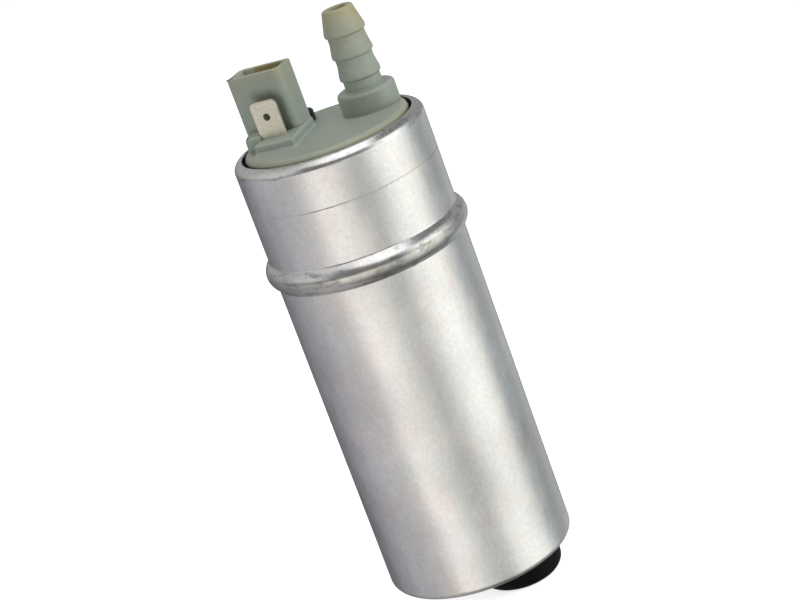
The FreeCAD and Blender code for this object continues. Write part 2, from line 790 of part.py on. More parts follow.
def check_spring():
    """Light spring between the poppet and the chamber's roof."""
    return coil_spring(
        CHECK_SPRING_D, CHECK_SPRING_WIRE, CHECK_SPRING_TURNS,
        check_disc_top, cover_top + CHECK_CHAMBER_TOP, outlet_x, outlet_y,
    )


# Relief valve

relief_seat_top = plate_under - RELIEF_TUBE_DROP + RELIEF_SEAT_LENGTH
relief_ball_z = relief_seat_top + math.sqrt((RELIEF_BALL_D / 2) ** 2 - (RELIEF_SEAT_BORE_D / 2) ** 2) + RUN_GAP
cap_plug_bottom = cover_top - CAP_PLUG_DEPTH


def relief_seat():
    """Seat bush at the foot of the relief valve's tube."""
    outer = RELIEF_BORE_D / 2 - SEAT_GAP
    bottom = plate_under - RELIEF_TUBE_DROP
    return ring(outer, RELIEF_SEAT_BORE_D / 2, bottom, relief_seat_top, relief_x, relief_y)


def relief_ball():
    """Steel ball on the relief valve's seat."""
    return Part.makeSphere(RELIEF_BALL_D / 2, V(relief_x, relief_y, relief_ball_z))


def relief_spring():
    """Spring between the ball and the cap."""
    mean_r = (RELIEF_SPRING_D - RELIEF_SPRING_WIRE) / 2
    contact = (RELIEF_BALL_D + RELIEF_SPRING_WIRE) / 2
    on_ball = relief_ball_z + math.sqrt(contact ** 2 - mean_r ** 2) - RELIEF_SPRING_WIRE / 2
    return coil_spring(
        RELIEF_SPRING_D, RELIEF_SPRING_WIRE, RELIEF_SPRING_TURNS, on_ball, cap_plug_bottom, relief_x, relief_y
    )


def relief_cap():
    """Black cap over the relief valve, with a vent hole and a plug that holds the spring down."""
    top = cover_top + LAND_RISE + CAP_HEIGHT
    cap_r = CAP_D / 2
    hole_r = CAP_HOLE_D / 2
    plug_r = RELIEF_BORE_D / 2 - SEAT_GAP
    foot = cover_top + LAND_RISE
    edge = V(cap_r - CAP_EDGE_R, 0, top - CAP_EDGE_R)
    start = V(hole_r, 0, cap_plug_bottom)
    steps = [
        V(plug_r, 0, cap_plug_bottom),
        V(plug_r, 0, foot),
        V(cap_r, 0, foot),
        V(cap_r, 0, edge.z),
        (arc_point(edge, CAP_EDGE_R, 45), V(edge.x, 0, top)),
        V(hole_r, 0, top),
    ]
    return turned(start, steps, relief_x, relief_y)


# Brushes, leads and chokes

def brush(side):
    """Carbon brush that bears on the commutator's face."""
    middle = side * BRUSH_RADIUS
    half_w = BRUSH_WIDTH / 2
    half_d = BRUSH_DEPTH / 2
    return block(-half_w, half_w, middle - half_d, middle + half_d, comm_face + SIDE_GAP, brush_top)


def brush_spring(side):
    """Spring that pushes a brush down."""
    return coil_spring(
        BRUSH_SPRING_D, BRUSH_SPRING_WIRE, BRUSH_SPRING_TURNS, brush_top, plate_under, 0, side * BRUSH_RADIUS
    )


def choke_place(name):
    """Centre of a choke: a is in front of the blade terminal, b in front of the socket terminal."""
    if name == "a":
        return blade_x, blade_y - CHOKE_A_AHEAD
    return pin_x - BLADE_THICK, pin_y - CHOKE_B_AHEAD


def choke_core(name):
    """Ferrite rod that hangs from its pocket in the plate."""
    x, y = choke_place(name)
    return cylinder(CHOKE_CORE_D / 2, choke_bottom - CHOKE_WIRE, plate_under + CHOKE_POCKET - SEAT_GAP, x, y)


def choke_coil(name):
    """Copper wire round the rod, with one tail to the terminal and one towards the brush."""
    x, y = choke_place(name)
    start_deg = 90 if name == "a" else 180
    turns = CHOKE_TURNS + (0.75 if name == "a" else 0.5)
    base = V(x, y, choke_bottom)
    points = helix_points(choke_radius, CHOKE_PITCH, turns, base, start_deg)
    first, leaving = points[0]
    last, arriving = points[-1]
    backward = V(-leaving.x, -leaving.y, -leaving.z).normalize()
    onward = V(arriving).normalize()
    face_y = (blade_y - BLADE_THICK / 2) if name == "a" else (pin_y - PIN_THICK / 2)
    run = (face_y - RUN_GAP - last.y) / onward.y
    edges = [Part.LineSegment(first + backward * CHOKE_TAIL, first).toShape()]
    edges += helix_edges(choke_radius, CHOKE_PITCH, turns, base, start_deg)
    edges.append(Part.LineSegment(last, last + onward * run).toShape())
    return swept(edges, CHOKE_WIRE), first + backward * CHOKE_TAIL, backward


def brush_lead(name):
    """Flexible lead from a brush's side to its choke."""
    side = -1 if name == "a" else 1
    tail_end, tail_way = choke_coil(name)[1:]
    meet = tail_end + tail_way * RUN_GAP
    start = V(-BRUSH_WIDTH / 2 - RUN_GAP, side * BRUSH_RADIUS, lead_level)
    if name == "a":
        knee = meet + tail_way * (1.5 * LEAD_D)
        points = [start, start + V(-2 * LEAD_D, 0, 0), knee, meet]
        return bent_wire(points, LEAD_D, LEAD_D)
    outside = V(meet.x, start.y, meet.z)
    points = [start, start + V(-2 * LEAD_D, 0, 0), outside + V(4 * LEAD_D, 0, 0), outside, meet]
    return bent_wire(points, 2 * LEAD_D, LEAD_D)


# Motor

def flux_ring():
    """Steel tube that carries the magnets' field and spaces the end cover from the pump."""
    return ring(flux_outer_r, flux_inner_r, outlet_casing_top, skirt_bottom)


def magnet(side):
    """Ferrite magnet, an arc of a ring."""
    low = (core_top + core_bottom - MAGNET_LENGTH) / 2
    return sector(magnet_inner_r, magnet_outer_r, 90 * side, MAGNET_SPAN, low, low + MAGNET_LENGTH)


def magnet_clip(centre_deg):
    """Spring steel channel that holds the two magnets apart."""
    middle = (core_top + core_bottom) / 2
    low, high = middle - CLIP_LENGTH / 2, middle + CLIP_LENGTH / 2
    free = 180 - MAGNET_SPAN - 2 * math.degrees(CLIP_CLEAR / magnet_inner_r)
    leg = math.degrees(CLIP_THICK / magnet_inner_r)
    whole = sector(magnet_inner_r + CLIP_THICK, magnet_outer_r, centre_deg, free, low, high)
    hollow = sector(magnet_inner_r, magnet_outer_r - CLIP_THICK, centre_deg, free - 2 * leg, low - 1, high + 1)
    return whole.cut(hollow)


def motor_shaft():
    """Ground shaft with two flats for the coupling and a turned-down lower end."""
    flats_top = outlet_casing_bottom + COUPLING_THICK + 2 * SIDE_GAP
    main = cylinder(shaft_r, shaft_stub_top, shaft_top)
    for side in (-1, 1):
        near = SHAFT_FLATS / 2
        far = side * (near + SHAFT_D)
        edge = side * near
        main = main.cut(block(-SHAFT_D, SHAFT_D, min(edge, far), max(edge, far), shaft_stub_top - 1, flats_top))
    stub = cylinder(SHAFT_STUB_D / 2, shaft_stub_top - SHAFT_STUB_LENGTH, shaft_stub_top)
    return main.fuse(stub).removeSplitter()


def slot_pocket(gap):
    """One armature slot, drawn smaller all round by the gap."""
    step = 360 / SLOT_COUNT
    outer = core_r - TOOTH_TIP - gap
    inner = SLOT_FLOOR_R + gap
    half = TOOTH_WIDTH / 2 + gap
    pocket = sector(inner, outer, 0, step * 0.98, slots_low, slots_high)
    for side in (-1, 1):
        wall = block(0, 2 * core_r, -half, half, slots_low - 1, slots_high + 1)
        pocket = pocket.cut(spun(wall, side * step / 2))
    return pocket


def slot_mouth():
    """Narrow opening of a slot at the core's outside."""
    half = SLOT_OPENING / 2
    return block(SLOT_FLOOR_R + 1, 2 * core_r, -half, half, slots_low, slots_high)


def armature_core():
    """Slotted stack of laminations."""
    core = cylinder(core_r, core_bottom, core_top)
    cuts = [cylinder(shaft_r + SEAT_GAP, core_bottom - 1, core_top + 1)]
    for number in range(SLOT_COUNT):
        turn = number * 360 / SLOT_COUNT
        cuts += [spun(slot_pocket(0.0), turn), spun(slot_mouth(), turn)]
    return core.cut(cuts)


def armature_windings():
    """Copper in the slots, the end turns above and below, and the wires up to the commutator."""
    inner = SLOT_FLOOR_R + WINDING_GAP
    outer = core_r - TOOTH_TIP - WINDING_GAP
    lift = INSULATOR_THICK + SEAT_GAP
    top = core_top + WINDING_END
    pieces = [
        ring(outer, inner, core_top + lift, top),
        ring(outer, inner, core_bottom - WINDING_END, core_bottom - lift),
    ]
    riser_r = comm_r + SEAT_GAP + RISER_D / 2
    riser_x = min(riser_r, outer - RISER_D)
    for number in range(SLOT_COUNT):
        turn = number * 360 / SLOT_COUNT
        pieces.append(spun(slot_pocket(WINDING_GAP), turn))
        foot = cylinder(RISER_D / 2, top - RISER_D, top + COMM_CLEAR / 2, riser_x, 0)
        arm = block(riser_x, riser_r, -RISER_D / 2, RISER_D / 2, top, top + COMM_CLEAR / 2)
        post = cylinder(RISER_D / 2, top, comm_base_top + COMM_SEGMENT_THICK / 2, riser_r, 0)
        pieces += [spun(foot, turn), spun(arm, turn), spun(post, turn)]
    return pieces[0].fuse(pieces[1:]).removeSplitter()


def insulator(upper):
    """Moulded end plate of the armature, with a hub on the shaft."""
    hub_r = INSULATOR_HUB_R
    plate_r = core_r - SEAT_GAP
    if upper:
        plate = cylinder(plate_r, core_top, core_top + INSULATOR_THICK)
        hub = cylinder(hub_r, core_top, comm_base_bottom)
    else:
        washer_top = outlet_casing_top + WASHER_THICK + 2 * SIDE_GAP
        plate = cylinder(plate_r, core_bottom - INSULATOR_THICK, core_bottom)
        hub = cylinder(hub_r, washer_top, core_bottom)
    cuts = [cylinder(shaft_r + SEAT_GAP, outlet_casing_top, comm_base_bottom + 1)]
    for number in range(SLOT_COUNT):
        turn = number * 360 / SLOT_COUNT
        cuts += [spun(slot_pocket(0.0), turn), spun(slot_mouth(), turn)]
    return plate.cut(cuts).fuse(hub.cut(cuts[0]))


def commutator_base():
    """Moulded disc that carries the segments, with a hub up to the upper thrust washer."""
    hub_top = hub_bottom - WASHER_THICK - 2 * SIDE_GAP
    disc = cylinder(comm_r, comm_base_bottom, comm_base_top)
    hub = cylinder(INSULATOR_HUB_R, comm_base_bottom, hub_top)
    return disc.fuse(hub).cut(cylinder(shaft_r + SEAT_GAP, comm_base_bottom - 1, hub_top + 1))


def commutator_segments():
    """Flat segments round the shaft, one for each slot."""
    segments = []
    for number in range(SLOT_COUNT):
        turn = (number + 0.5) * 360 / SLOT_COUNT
        plate = sector(COMM_BORE_R, comm_r, 0, 360 / SLOT_COUNT, comm_base_top, comm_face)
        for side in (-1, 1):
            slit = block(0, 2 * comm_r, -COMM_SLIT / 2, COMM_SLIT / 2, comm_base_top - 1, comm_face + 1)
            plate = plate.cut(spun(slit, side * 180 / SLOT_COUNT))
        segments.append(spun(plate, turn))
    return Part.makeCompound(segments)


def bearing(bottom, length):
    """Sintered bush."""
    return ring(BEARING_D / 2, shaft_r + RUN_GAP, bottom, bottom + length)


def thrust_washer(bottom):
    """Washer between a bush and the armature."""
    return ring(WASHER_D / 2, shaft_r + SEAT_GAP, bottom, bottom + WASHER_THICK)


# Pump

rotor_centre = V(0, -ECCENTRICITY, 0)


def inner_rotor_outline(z):
    """Inner rotor's closed curve: the path of the outer rotor's round teeth, rolled round it."""
    teeth = LOBES + 1
    tooth_r = TOOTH_R + ROTOR_CLEAR
    samples = 24 * LOBES
    points = []
    for number in range(samples):
        t = 2 * math.pi * number / samples
        lean = math.atan2(math.sin(LOBES * t), TOOTH_CIRCLE_R / (ECCENTRICITY * teeth) - math.cos(LOBES * t))
        x = TOOTH_CIRCLE_R * math.cos(t) - tooth_r * math.cos(t - lean) - ECCENTRICITY * math.cos(teeth * t)
        y = -TOOTH_CIRCLE_R * math.sin(t) + tooth_r * math.sin(t - lean) + ECCENTRICITY * math.sin(teeth * t)
        points.append(V(-y, x, z))
    curve = Part.BSplineCurve()
    curve.interpolate(points, True)
    return Part.Face(Part.Wire(curve.toShape()))


def dog_slots(gap):
    """The coupling's two dogs, larger all round by the gap."""
    outer = COUPLING_D / 2 + gap
    inner = DOG_INNER_R - gap
    half = DOG_WIDTH / 2 + gap
    low = rotor_top - DOG_DEPTH - gap
    high = rotor_top + COUPLING_THICK / 2
    band = ring(outer, inner, low, high)
    return band.common(block(-outer, outer, -half, half, low, high))


def inner_rotor():
    """Driven rotor with the lobes outside, on the shaft's flats by way of the coupling."""
    rotor = inner_rotor_outline(rotor_bottom).extrude(V(0, 0, rotor_top - rotor_bottom))
    bore = cylinder(shaft_r + LOOSE_GAP, rotor_bottom - 1, rotor_top + 1)
    return rotor.cut([bore, dog_slots(DOG_GAP)])


def outer_rotor():
    """Ring with round teeth inside, which the inner rotor carries round in its eccentric bore."""
    x, y = rotor_centre.x, rotor_centre.y
    root_r = TOOTH_CIRCLE_R - TOOTH_R + 2 * ECCENTRICITY + ROOT_CLEAR
    hollow = cylinder(root_r, rotor_bottom - 1, rotor_top + 1, x, y)
    teeth = []
    for number in range(LOBES + 1):
        angle = math.radians(90 + number * 360 / (LOBES + 1))
        tooth_x = x + TOOTH_CIRCLE_R * math.cos(angle)
        tooth_y = y + TOOTH_CIRCLE_R * math.sin(angle)
        teeth.append(cylinder(TOOTH_R, rotor_bottom - 2, rotor_top + 2, tooth_x, tooth_y))
    return cylinder(OUTER_ROTOR_D / 2, rotor_bottom, rotor_top, x, y).cut(hollow.cut(teeth))


def drive_coupling():
    """Coupling on the shaft's flats, with two dogs down into the inner rotor."""
    low = rotor_top + SIDE_GAP
    disc = cylinder(COUPLING_D / 2, low, low + COUPLING_THICK)
    half = SHAFT_FLATS / 2 + SEAT_GAP
    bore = cylinder(shaft_r + SEAT_GAP, low - DOG_DEPTH, low + 2 * COUPLING_THICK)
    bore = bore.common(block(-SHAFT_D, SHAFT_D, -half, half, low - DOG_DEPTH, low + 2 * COUPLING_THICK))
    return disc.fuse(dog_slots(0.0)).cut(bore).removeSplitter()


def pin_places():
    """Centres of the two locating pins."""
    return [(-PIN_CIRCLE_R, 0), (PIN_CIRCLE_R, 0)]


def pin_holes():
    """Holes through the three pump plates for the locating pins."""
    low = inlet_casing_top - PIN_EMBED - SEAT_GAP
    high = outlet_casing_bottom + PIN_EMBED + SEAT_GAP
    return [cylinder(PIN_D / 2 + SEAT_GAP, low, high, x, y) for x, y in pin_places()]


def locating_pins():
    """Two dowels that line up the pump's plates."""
    low = inlet_casing_top - PIN_EMBED
    high = outlet_casing_bottom + PIN_EMBED
    return Part.makeCompound([cylinder(PIN_D / 2, low, high, x, y) for x, y in pin_places()])


def rotor_housing():
    """Ring with the eccentric bore that the outer rotor turns in."""
    body = cylinder(filler_r, inlet_casing_top, outlet_casing_bottom)
    bore_r = OUTER_ROTOR_D / 2 + RUN_GAP
    bore = cylinder(bore_r, inlet_casing_top - 1, outlet_casing_bottom + 1, rotor_centre.x, rotor_centre.y)
    return body.cut([bore] + pin_holes())


def outlet_casing():
    """Upper pump plate with the discharge port, the coupling's recess and the lower bearing."""
    low, high = outlet_casing_bottom, outlet_casing_top
    recess_top = low + COUPLING_THICK + 2 * SIDE_GAP
    cuts = [
        cylinder(BEARING_D / 2 + SEAT_GAP, lower_bearing_bottom, high + 1),
        cylinder(shaft_r + LOOSE_GAP, low - 1, high),
        cylinder(COUPLING_D / 2 + LOOSE_GAP, low - 1, recess_top),
        sector(PORT_INNER_R, PORT_OUTER_R, 180, PORT_SPAN, low - 1, high + 1),
    ]
    return cylinder(filler_r, low, high).cut(cuts + pin_holes())


def inlet_casing():
    """Lower pump plate with the suction port, the neck that the strainer fits and a groove for the O-ring."""
    low, high = inlet_casing_bottom, inlet_casing_top
    foot = cylinder(base_lip_r - LOOSE_GAP, low - CASING_STEP, low)
    neck = cylinder(neck_r, NECK_SHORT, low + 1, inlet_x, 0)
    body = cylinder(filler_r, low, high).fuse([foot, neck])
    groove_z = low + O_RING_RISE
    ring_r = O_RING_D / 2
    groove = ring(
        can_r, filler_r - O_RING_D, groove_z - ring_r - SEAT_GAP, groove_z + ring_r + SEAT_GAP
    )
    bend = ring(can_r + 1, base_lip_r - LOOSE_GAP, low - 1, low + BASE_BEND_R).cut(corner_filler(low))
    cuts = [
        groove,
        bend,
        cylinder(INLET_BORE_D / 2, NECK_SHORT - 1, high - SUCTION_DEPTH / 2, inlet_x, 0),
        sector(PORT_INNER_R, PORT_OUTER_R, 0, PORT_SPAN, high - SUCTION_DEPTH, high + 1),
        cylinder(SHAFT_STUB_D / 2 + LOOSE_GAP, high - SHAFT_STUB_LENGTH - 2 * SIDE_GAP, high + 1),
    ]
    return body.cut(cuts + pin_holes()).removeSplitter()


def corner_filler(low):
    """What the casing keeps inside the can's rolled lower corner."""
    inner_bend = max(BASE_BEND_R - CAN_WALL, 0.0) + SEAT_GAP
    centre_r = filler_r - inner_bend
    body = cylinder(centre_r, low - 2, low + BASE_BEND_R + 1)
    upper = cylinder(filler_r, low + inner_bend, low + BASE_BEND_R + 1)
    bend = Part.makeTorus(centre_r, inner_bend, V(0, 0, low + inner_bend), UP)
    return body.fuse([upper, bend])


def casing_o_ring():
    """Rubber ring that seals the inlet casing in the can."""
    ring_r = O_RING_D / 2
    return Part.makeTorus(filler_r - ring_r, ring_r, V(0, 0, inlet_casing_bottom + O_RING_RISE), UP)


def inlet_sleeve():
    """Rubber sleeve on the inlet neck, with a well rounded lower edge."""
    top = inlet_casing_bottom - CASING_STEP - SEAT_GAP
    outer = SLEEVE_D / 2
    inner = neck_r + SEAT_GAP
    radius = min(SLEEVE_EDGE_R, outer - inner - 0.2)
    edge = V(outer - radius, 0, radius)
    start = V(inner, 0, 0)
    steps = [
        V(edge.x, 0, 0),
        (arc_point(edge, radius, -45), V(outer, 0, radius)),
        V(outer, 0, top),
        V(inner, 0, top),
    ]
    return turned(start, steps, inlet_x, 0)


def build():
    """Every piece under its name."""
    return {
        "can": can(),
        "end_cover": end_cover(),
        "cover_seal": cover_seal(),
        "blade_terminal": blade_terminal(),
        "socket_terminal": socket_terminal(),
        "check_valve_seat": check_seat(),
        "check_valve_seal": check_seal(),
        "check_valve_poppet": check_poppet(),
        "check_valve_spring": check_spring(),
        "relief_valve_seat": relief_seat(),
        "relief_valve_ball": relief_ball(),
        "relief_valve_spring": relief_spring(),
        "relief_valve_cap": relief_cap(),
        "brush_a": brush(-1),
        "brush_b": brush(1),
        "brush_spring_a": brush_spring(-1),
        "brush_spring_b": brush_spring(1),
        "brush_lead_a": brush_lead("a"),
        "brush_lead_b": brush_lead("b"),
        "choke_core_a": choke_core("a"),
        "choke_core_b": choke_core("b"),
        "choke_coil_a": choke_coil("a")[0],
        "choke_coil_b": choke_coil("b")[0],
        "flux_ring": flux_ring(),
        "magnet_a": magnet(-1),
        "magnet_b": magnet(1),
        "magnet_clip_a": magnet_clip(0),
        "magnet_clip_b": magnet_clip(180),
        "motor_shaft": motor_shaft(),
        "armature_core": armature_core(),
        "armature_windings": armature_windings(),
        "upper_insulator": insulator(True),
        "lower_insulator": insulator(False),
        "commutator_base": commutator_base(),
        "commutator_segments": commutator_segments(),
        "upper_bearing": bearing(hub_bottom, UPPER_BEARING_LENGTH),
        "lower_bearing": bearing(lower_bearing_bottom, LOWER_BEARING_LENGTH),
        "upper_thrust_washer": thrust_washer(hub_bottom - WASHER_THICK - SIDE_GAP),
        "lower_thrust_washer": thrust_washer(outlet_casing_top + SIDE_GAP),
        "outlet_casing": outlet_casing(),
        "rotor_housing": rotor_housing(),
        "inner_rotor": inner_rotor(),
        "outer_rotor": outer_rotor(),
        "drive_coupling": drive_coupling(),
        "locating_pins": locating_pins(),
        "inlet_casing": inlet_casing(),
        "casing_o_ring": casing_o_ring(),
        "inlet_sleeve": inlet_sleeve(),
    }


os.makedirs("parts", exist_ok=True)
for name, shape in build().items():
    if not shape.isValid():
        print("not valid:", name)
    for solid in shape.Solids:
        if solid.Volume < 0:
            print("inside out:", name)
    print(name, len(shape.Solids), "solid(s)", round(shape.Volume, 1), "mm3")
    shape.exportStep(os.path.join("parts", name + ".step"))
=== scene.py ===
# %% [markdown]
# # Dressing an in-tank fuel pump
# The CAD model of the pump is the frame of this scene: every length, place and moving body comes from it.
# This lesson models the pieces that the camera sees, with their rounded edges and soft moulded corners, and
# gives every piece, inside and out, a finish made of nodes. Lengths are in millimetres and are turned into
# metres when a vertex is made. The camera comes first, because it decides what matters.

# %% Load the frame
import json
import math

import bmesh
import bpy
from mathutils import Matrix, Vector


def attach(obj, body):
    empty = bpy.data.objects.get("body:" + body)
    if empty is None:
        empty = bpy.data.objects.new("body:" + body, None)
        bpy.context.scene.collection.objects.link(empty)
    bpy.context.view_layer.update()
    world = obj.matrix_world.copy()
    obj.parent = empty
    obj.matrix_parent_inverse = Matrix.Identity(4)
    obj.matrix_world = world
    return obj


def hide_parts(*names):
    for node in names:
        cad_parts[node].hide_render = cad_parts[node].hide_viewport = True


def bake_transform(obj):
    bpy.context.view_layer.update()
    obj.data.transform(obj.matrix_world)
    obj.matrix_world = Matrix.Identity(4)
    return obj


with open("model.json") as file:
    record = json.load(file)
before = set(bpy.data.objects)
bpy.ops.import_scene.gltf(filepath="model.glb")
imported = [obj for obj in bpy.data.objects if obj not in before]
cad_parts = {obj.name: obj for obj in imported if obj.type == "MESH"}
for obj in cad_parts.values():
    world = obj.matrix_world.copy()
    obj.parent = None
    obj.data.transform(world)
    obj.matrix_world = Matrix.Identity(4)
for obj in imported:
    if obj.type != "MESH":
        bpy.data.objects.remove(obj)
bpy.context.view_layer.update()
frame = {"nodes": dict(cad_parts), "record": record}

MM = 0.001
cad_nodes = frame["nodes"]
scene = bpy.context.scene
scene.view_settings.view_transform = "Standard"


def spot(x, y, z=0.0):
    """Place in metres from millimetres."""
    return MM * Vector((x, y, z))


# %% [markdown]
# ## Camera
# The photograph was taken from above the pump's rim with a long lens, and the picture was then turned, so
# the pump leans to the left. A Track To constraint could aim the camera, but here its three axes are worked
# out: first where it looks, then how far the picture is turned about that line. The bearing says which side
# of the pump faces the camera.

# %% Camera
RIM = 111.6
CAMERA_DISTANCE = 470.85
CAMERA_ABOVE_RIM = 111.09
CAMERA_BEARING = math.radians(27.5)
CAMERA_PITCH = 0.313
CAMERA_YAW = 0.005
CAMERA_ROLL = 0.003
PICTURE_TURN = math.radians(20.4)
LENS = 101.4
SENSOR = 36.0


def camera_axes():
    """Right, up and backward directions of the camera."""
    yaw, pitch = CAMERA_YAW, CAMERA_PITCH
    forward = Vector((math.sin(yaw) * math.cos(pitch), math.cos(yaw) * math.cos(pitch), -math.sin(pitch)))
    level = forward.cross(Vector((0, 0, 1))).normalized()
    upright = level.cross(forward)
    turn = PICTURE_TURN - CAMERA_ROLL
    right = math.cos(turn) * level - math.sin(turn) * upright
    up = math.sin(turn) * level + math.cos(turn) * upright
    bearing = Matrix.Rotation(CAMERA_BEARING, 3, "Z")
    return bearing @ right, bearing @ up, bearing @ -forward


def make_camera():
    """Camera at the photograph's place, turned as the picture is."""
    lens = bpy.data.cameras.new("camera")
    lens.sensor_width, lens.sensor_fit, lens.lens = SENSOR, "HORIZONTAL", LENS
    lens.clip_start, lens.clip_end = 0.01, 20.0
    camera = bpy.data.objects.new("camera", lens)
    right, up, back = camera_axes()
    place = Matrix((right, up, back)).transposed().to_4x4()
    place.translation = spot(
        CAMERA_DISTANCE * math.sin(CAMERA_BEARING),
        -CAMERA_DISTANCE * math.cos(CAMERA_BEARING),
        RIM + CAMERA_ABOVE_RIM,
    )
    camera.matrix_world = place
    scene.collection.objects.link(camera)
    scene.camera = camera
    return camera


camera = make_camera()
print("camera at", [round(v, 3) for v in camera.location])

# %% [markdown]
# ## Nodes, in short
# Every finish is a small tree of shader nodes. Writing each tree out with new() and links.new() takes a
# page, so open_tree() says which tree comes next, and node() makes one node in it, sets its options and
# fills its sockets, with a value or another node's output. Short helpers make the nodes that come back
# most.

# %% Helpers for nodes
tree = None


def open_tree(owner):
    """Empties the node tree of a material or a world, and opens it for the nodes that are made next."""
    global tree
    owner.use_nodes = True
    tree = owner.node_tree
    tree.nodes.clear()


def node(kind, inputs=None, **options):
    """New node in the open tree. An input is a value, or an output socket of another node."""
    made = tree.nodes.new("ShaderNode" + kind)
    for name, value in options.items():
        setattr(made, name, value)
    for name, value in (inputs or {}).items():
        if isinstance(value, bpy.types.NodeSocket):
            tree.links.new(value, made.inputs[name])
        else:
            made.inputs[name].default_value = value
    return made


def blank_finish(name):
    """Material whose empty tree is open."""
    material = bpy.data.materials.new(name)
    open_tree(material)
    return material


def calc(operation, *values):
    """Result of a Math node."""
    return node("Math", dict(enumerate(values)), operation=operation).outputs[0]


def vector_calc(operation, *values):
    """Result of a Vector Math node, which is a number for a length or a distance."""
    made = node("VectorMath", dict(enumerate(values)), operation=operation)
    return made.outputs["Value" if operation in ("LENGTH", "DISTANCE") else "Vector"]


def mix_shaders(share, first, second):
    """First shader where the share is zero, and the second where it is one."""
    return node("MixShader", {0: share, 1: first.outputs[0], 2: second.outputs[0]})


def own_place():
    """The piece's own coordinates."""
    return node("TexCoord").outputs["Object"]


def parts(vector):
    """X, Y and Z of a vector."""
    return node("SeparateXYZ", {0: vector}).outputs


def grey(value, warmth=0.0):
    """Grey as a colour, a little warmer or cooler."""
    return (value * (1 + warmth), value, value * (1 - warmth), 1.0)


BLACK = grey(0.0)
WHITE = grey(1.0)
print("warm grey:", [round(c, 2) for c in grey(0.5, 0.1)])

# %% [markdown]
# ## White studio
# The background is white paper. Light Path lets the world be plain white where the camera, a mirror or a
# clear piece looks at it, and a calmer grey where it lights the pump. The floor does the same: it keeps the
# soft shadow, and adds just enough of its own light to come out white.

# %% World and floor
AMBIENT = 0.25
FLOOR_RADIUS = 4000.0
FLOOR_ALBEDO = 0.82
FLOOR_LIFT = 0.76


def seen_directly():
    """One where a camera, glossy or transmission ray looks, and zero where a diffuse ray does."""
    path = node("LightPath").outputs
    sight = calc("MAXIMUM", path["Is Camera Ray"], path["Is Glossy Ray"])
    return calc("MAXIMUM", sight, path["Is Transmission Ray"])


def make_world():
    """White to look at, and an even grey light."""
    world = bpy.data.worlds.new("white studio")
    open_tree(world)
    glow = node("Background", {"Color": WHITE, "Strength": AMBIENT})
    white = node("Background", {"Color": WHITE, "Strength": 1.0})
    node("OutputWorld", {"Surface": mix_shaders(seen_directly(), glow, white).outputs[0]})
    scene.world = world


def paper_finish():
    """White paper that keeps a soft shadow. Its underside can't be seen."""
    material = blank_finish("white paper")
    paper = node("BsdfDiffuse", {"Color": grey(FLOOR_ALBEDO)})
    lift = node("Emission", {"Color": WHITE, "Strength": FLOOR_LIFT})
    none = node("Emission", {"Color": BLACK, "Strength": 0.0})
    chosen = mix_shaders(seen_directly(), none, lift)
    both = node("AddShader", {0: paper.outputs[0], 1: chosen.outputs[0]})
    shown = mix_shaders(node("NewGeometry").outputs["Backfacing"], both, node("BsdfTransparent"))
    node("OutputMaterial", {"Surface": shown.outputs[0]})
    return material


def new_object(name, bm, finish):
    """Object made from a bmesh, with a finish."""
    mesh = bpy.data.meshes.new(name)
    bm.to_mesh(mesh)
    bm.free()
    mesh.materials.append(finish)
    made = bpy.data.objects.new(name, mesh)
    scene.collection.objects.link(made)
    return made


def make_floor():
    """Round floor under the pump."""
    bm = bmesh.new()
    bmesh.ops.create_circle(bm, cap_ends=True, segments=64, radius=FLOOR_RADIUS * MM)
    floor = new_object("floor", bm, paper_finish())
    floor.visible_glossy = False
    return floor


make_world()
floor = make_floor()
print("floor faces:", len(floor.data.polygons))

# %% [markdown]
# ## Lamps
# Plastic and rubber show their form by shading, so they need a soft key light from the right front, a
# weaker fill from the left and a broad light overhead. Area lights give soft edges. They are hidden from
# the camera and from mirrors, because the can gets its reflections from a tent.

# %% Lamps
LAMPS = {
    # name: bearing from the camera in degrees, height, distance, size in mm, power in watts
    "key": (62.0, 470.0, 620.0, 420.0, 4.0),
    "fill": (-45.0, 300.0, 700.0, 500.0, 1.9),
    "top": (10.0, 950.0, 120.0, 620.0, 1.8),
}
AIM = Vector((0, 0, 90 * MM))


def make_lamp(name, bearing, height, distance, size, power):
    """Square area light that looks at the pump."""
    light = bpy.data.lights.new(name, "AREA")
    light.size, light.energy = size * MM, power
    lamp = bpy.data.objects.new(name, light)
    angle = CAMERA_BEARING - math.pi / 2 + math.radians(bearing)
    lamp.location = spot(distance * math.cos(angle), distance * math.sin(angle), height)
    lamp.rotation_euler = (lamp.location - AIM).to_track_quat("Z", "Y").to_euler()
    lamp.visible_camera = False
    lamp.visible_glossy = False
    scene.collection.objects.link(lamp)
    return lamp


lamps = {name: make_lamp(name, *settings) for name, settings in LAMPS.items()}
print("lamps:", len(LAMPS))

# %% [markdown]
# ## From one thing to another
# Most patterns here are two colours mixed by a share between zero and one. Map Range gives the share: it
# spreads a noise over a range, or makes a smooth step between two limits of a place, a bearing or a distance.
# Where the first limit is the higher one, the share falls instead of rising.

# %% Shares and mixtures
def spread(value, low, high, start=0.3, end=0.7):
    """Value between start and end, such as a noise, spread over a new range."""
    limits = {"Value": value, "From Min": start, "From Max": end, "To Min": low, "To Max": high}
    return node("MapRange", limits).outputs[0]


def band(value, low, high):
    """Zero below low, one above high and smooth between."""
    limits = {"Value": value, "From Min": low, "From Max": high}
    return node("MapRange", limits, interpolation_type="SMOOTHSTEP").outputs[0]


def zone(value, low, high, origin=0.0):
    """The same for a place, with its limits in millimetres from an origin."""
    return band(value, (origin + low) * MM, (origin + high) * MM)


def sector(bearing, low, high):
    """The same for a bearing, with its limits in degrees."""
    return band(bearing, math.radians(low), math.radians(high))


def product(first, second):
    """Two values multiplied."""
    return calc("MULTIPLY", first, second)


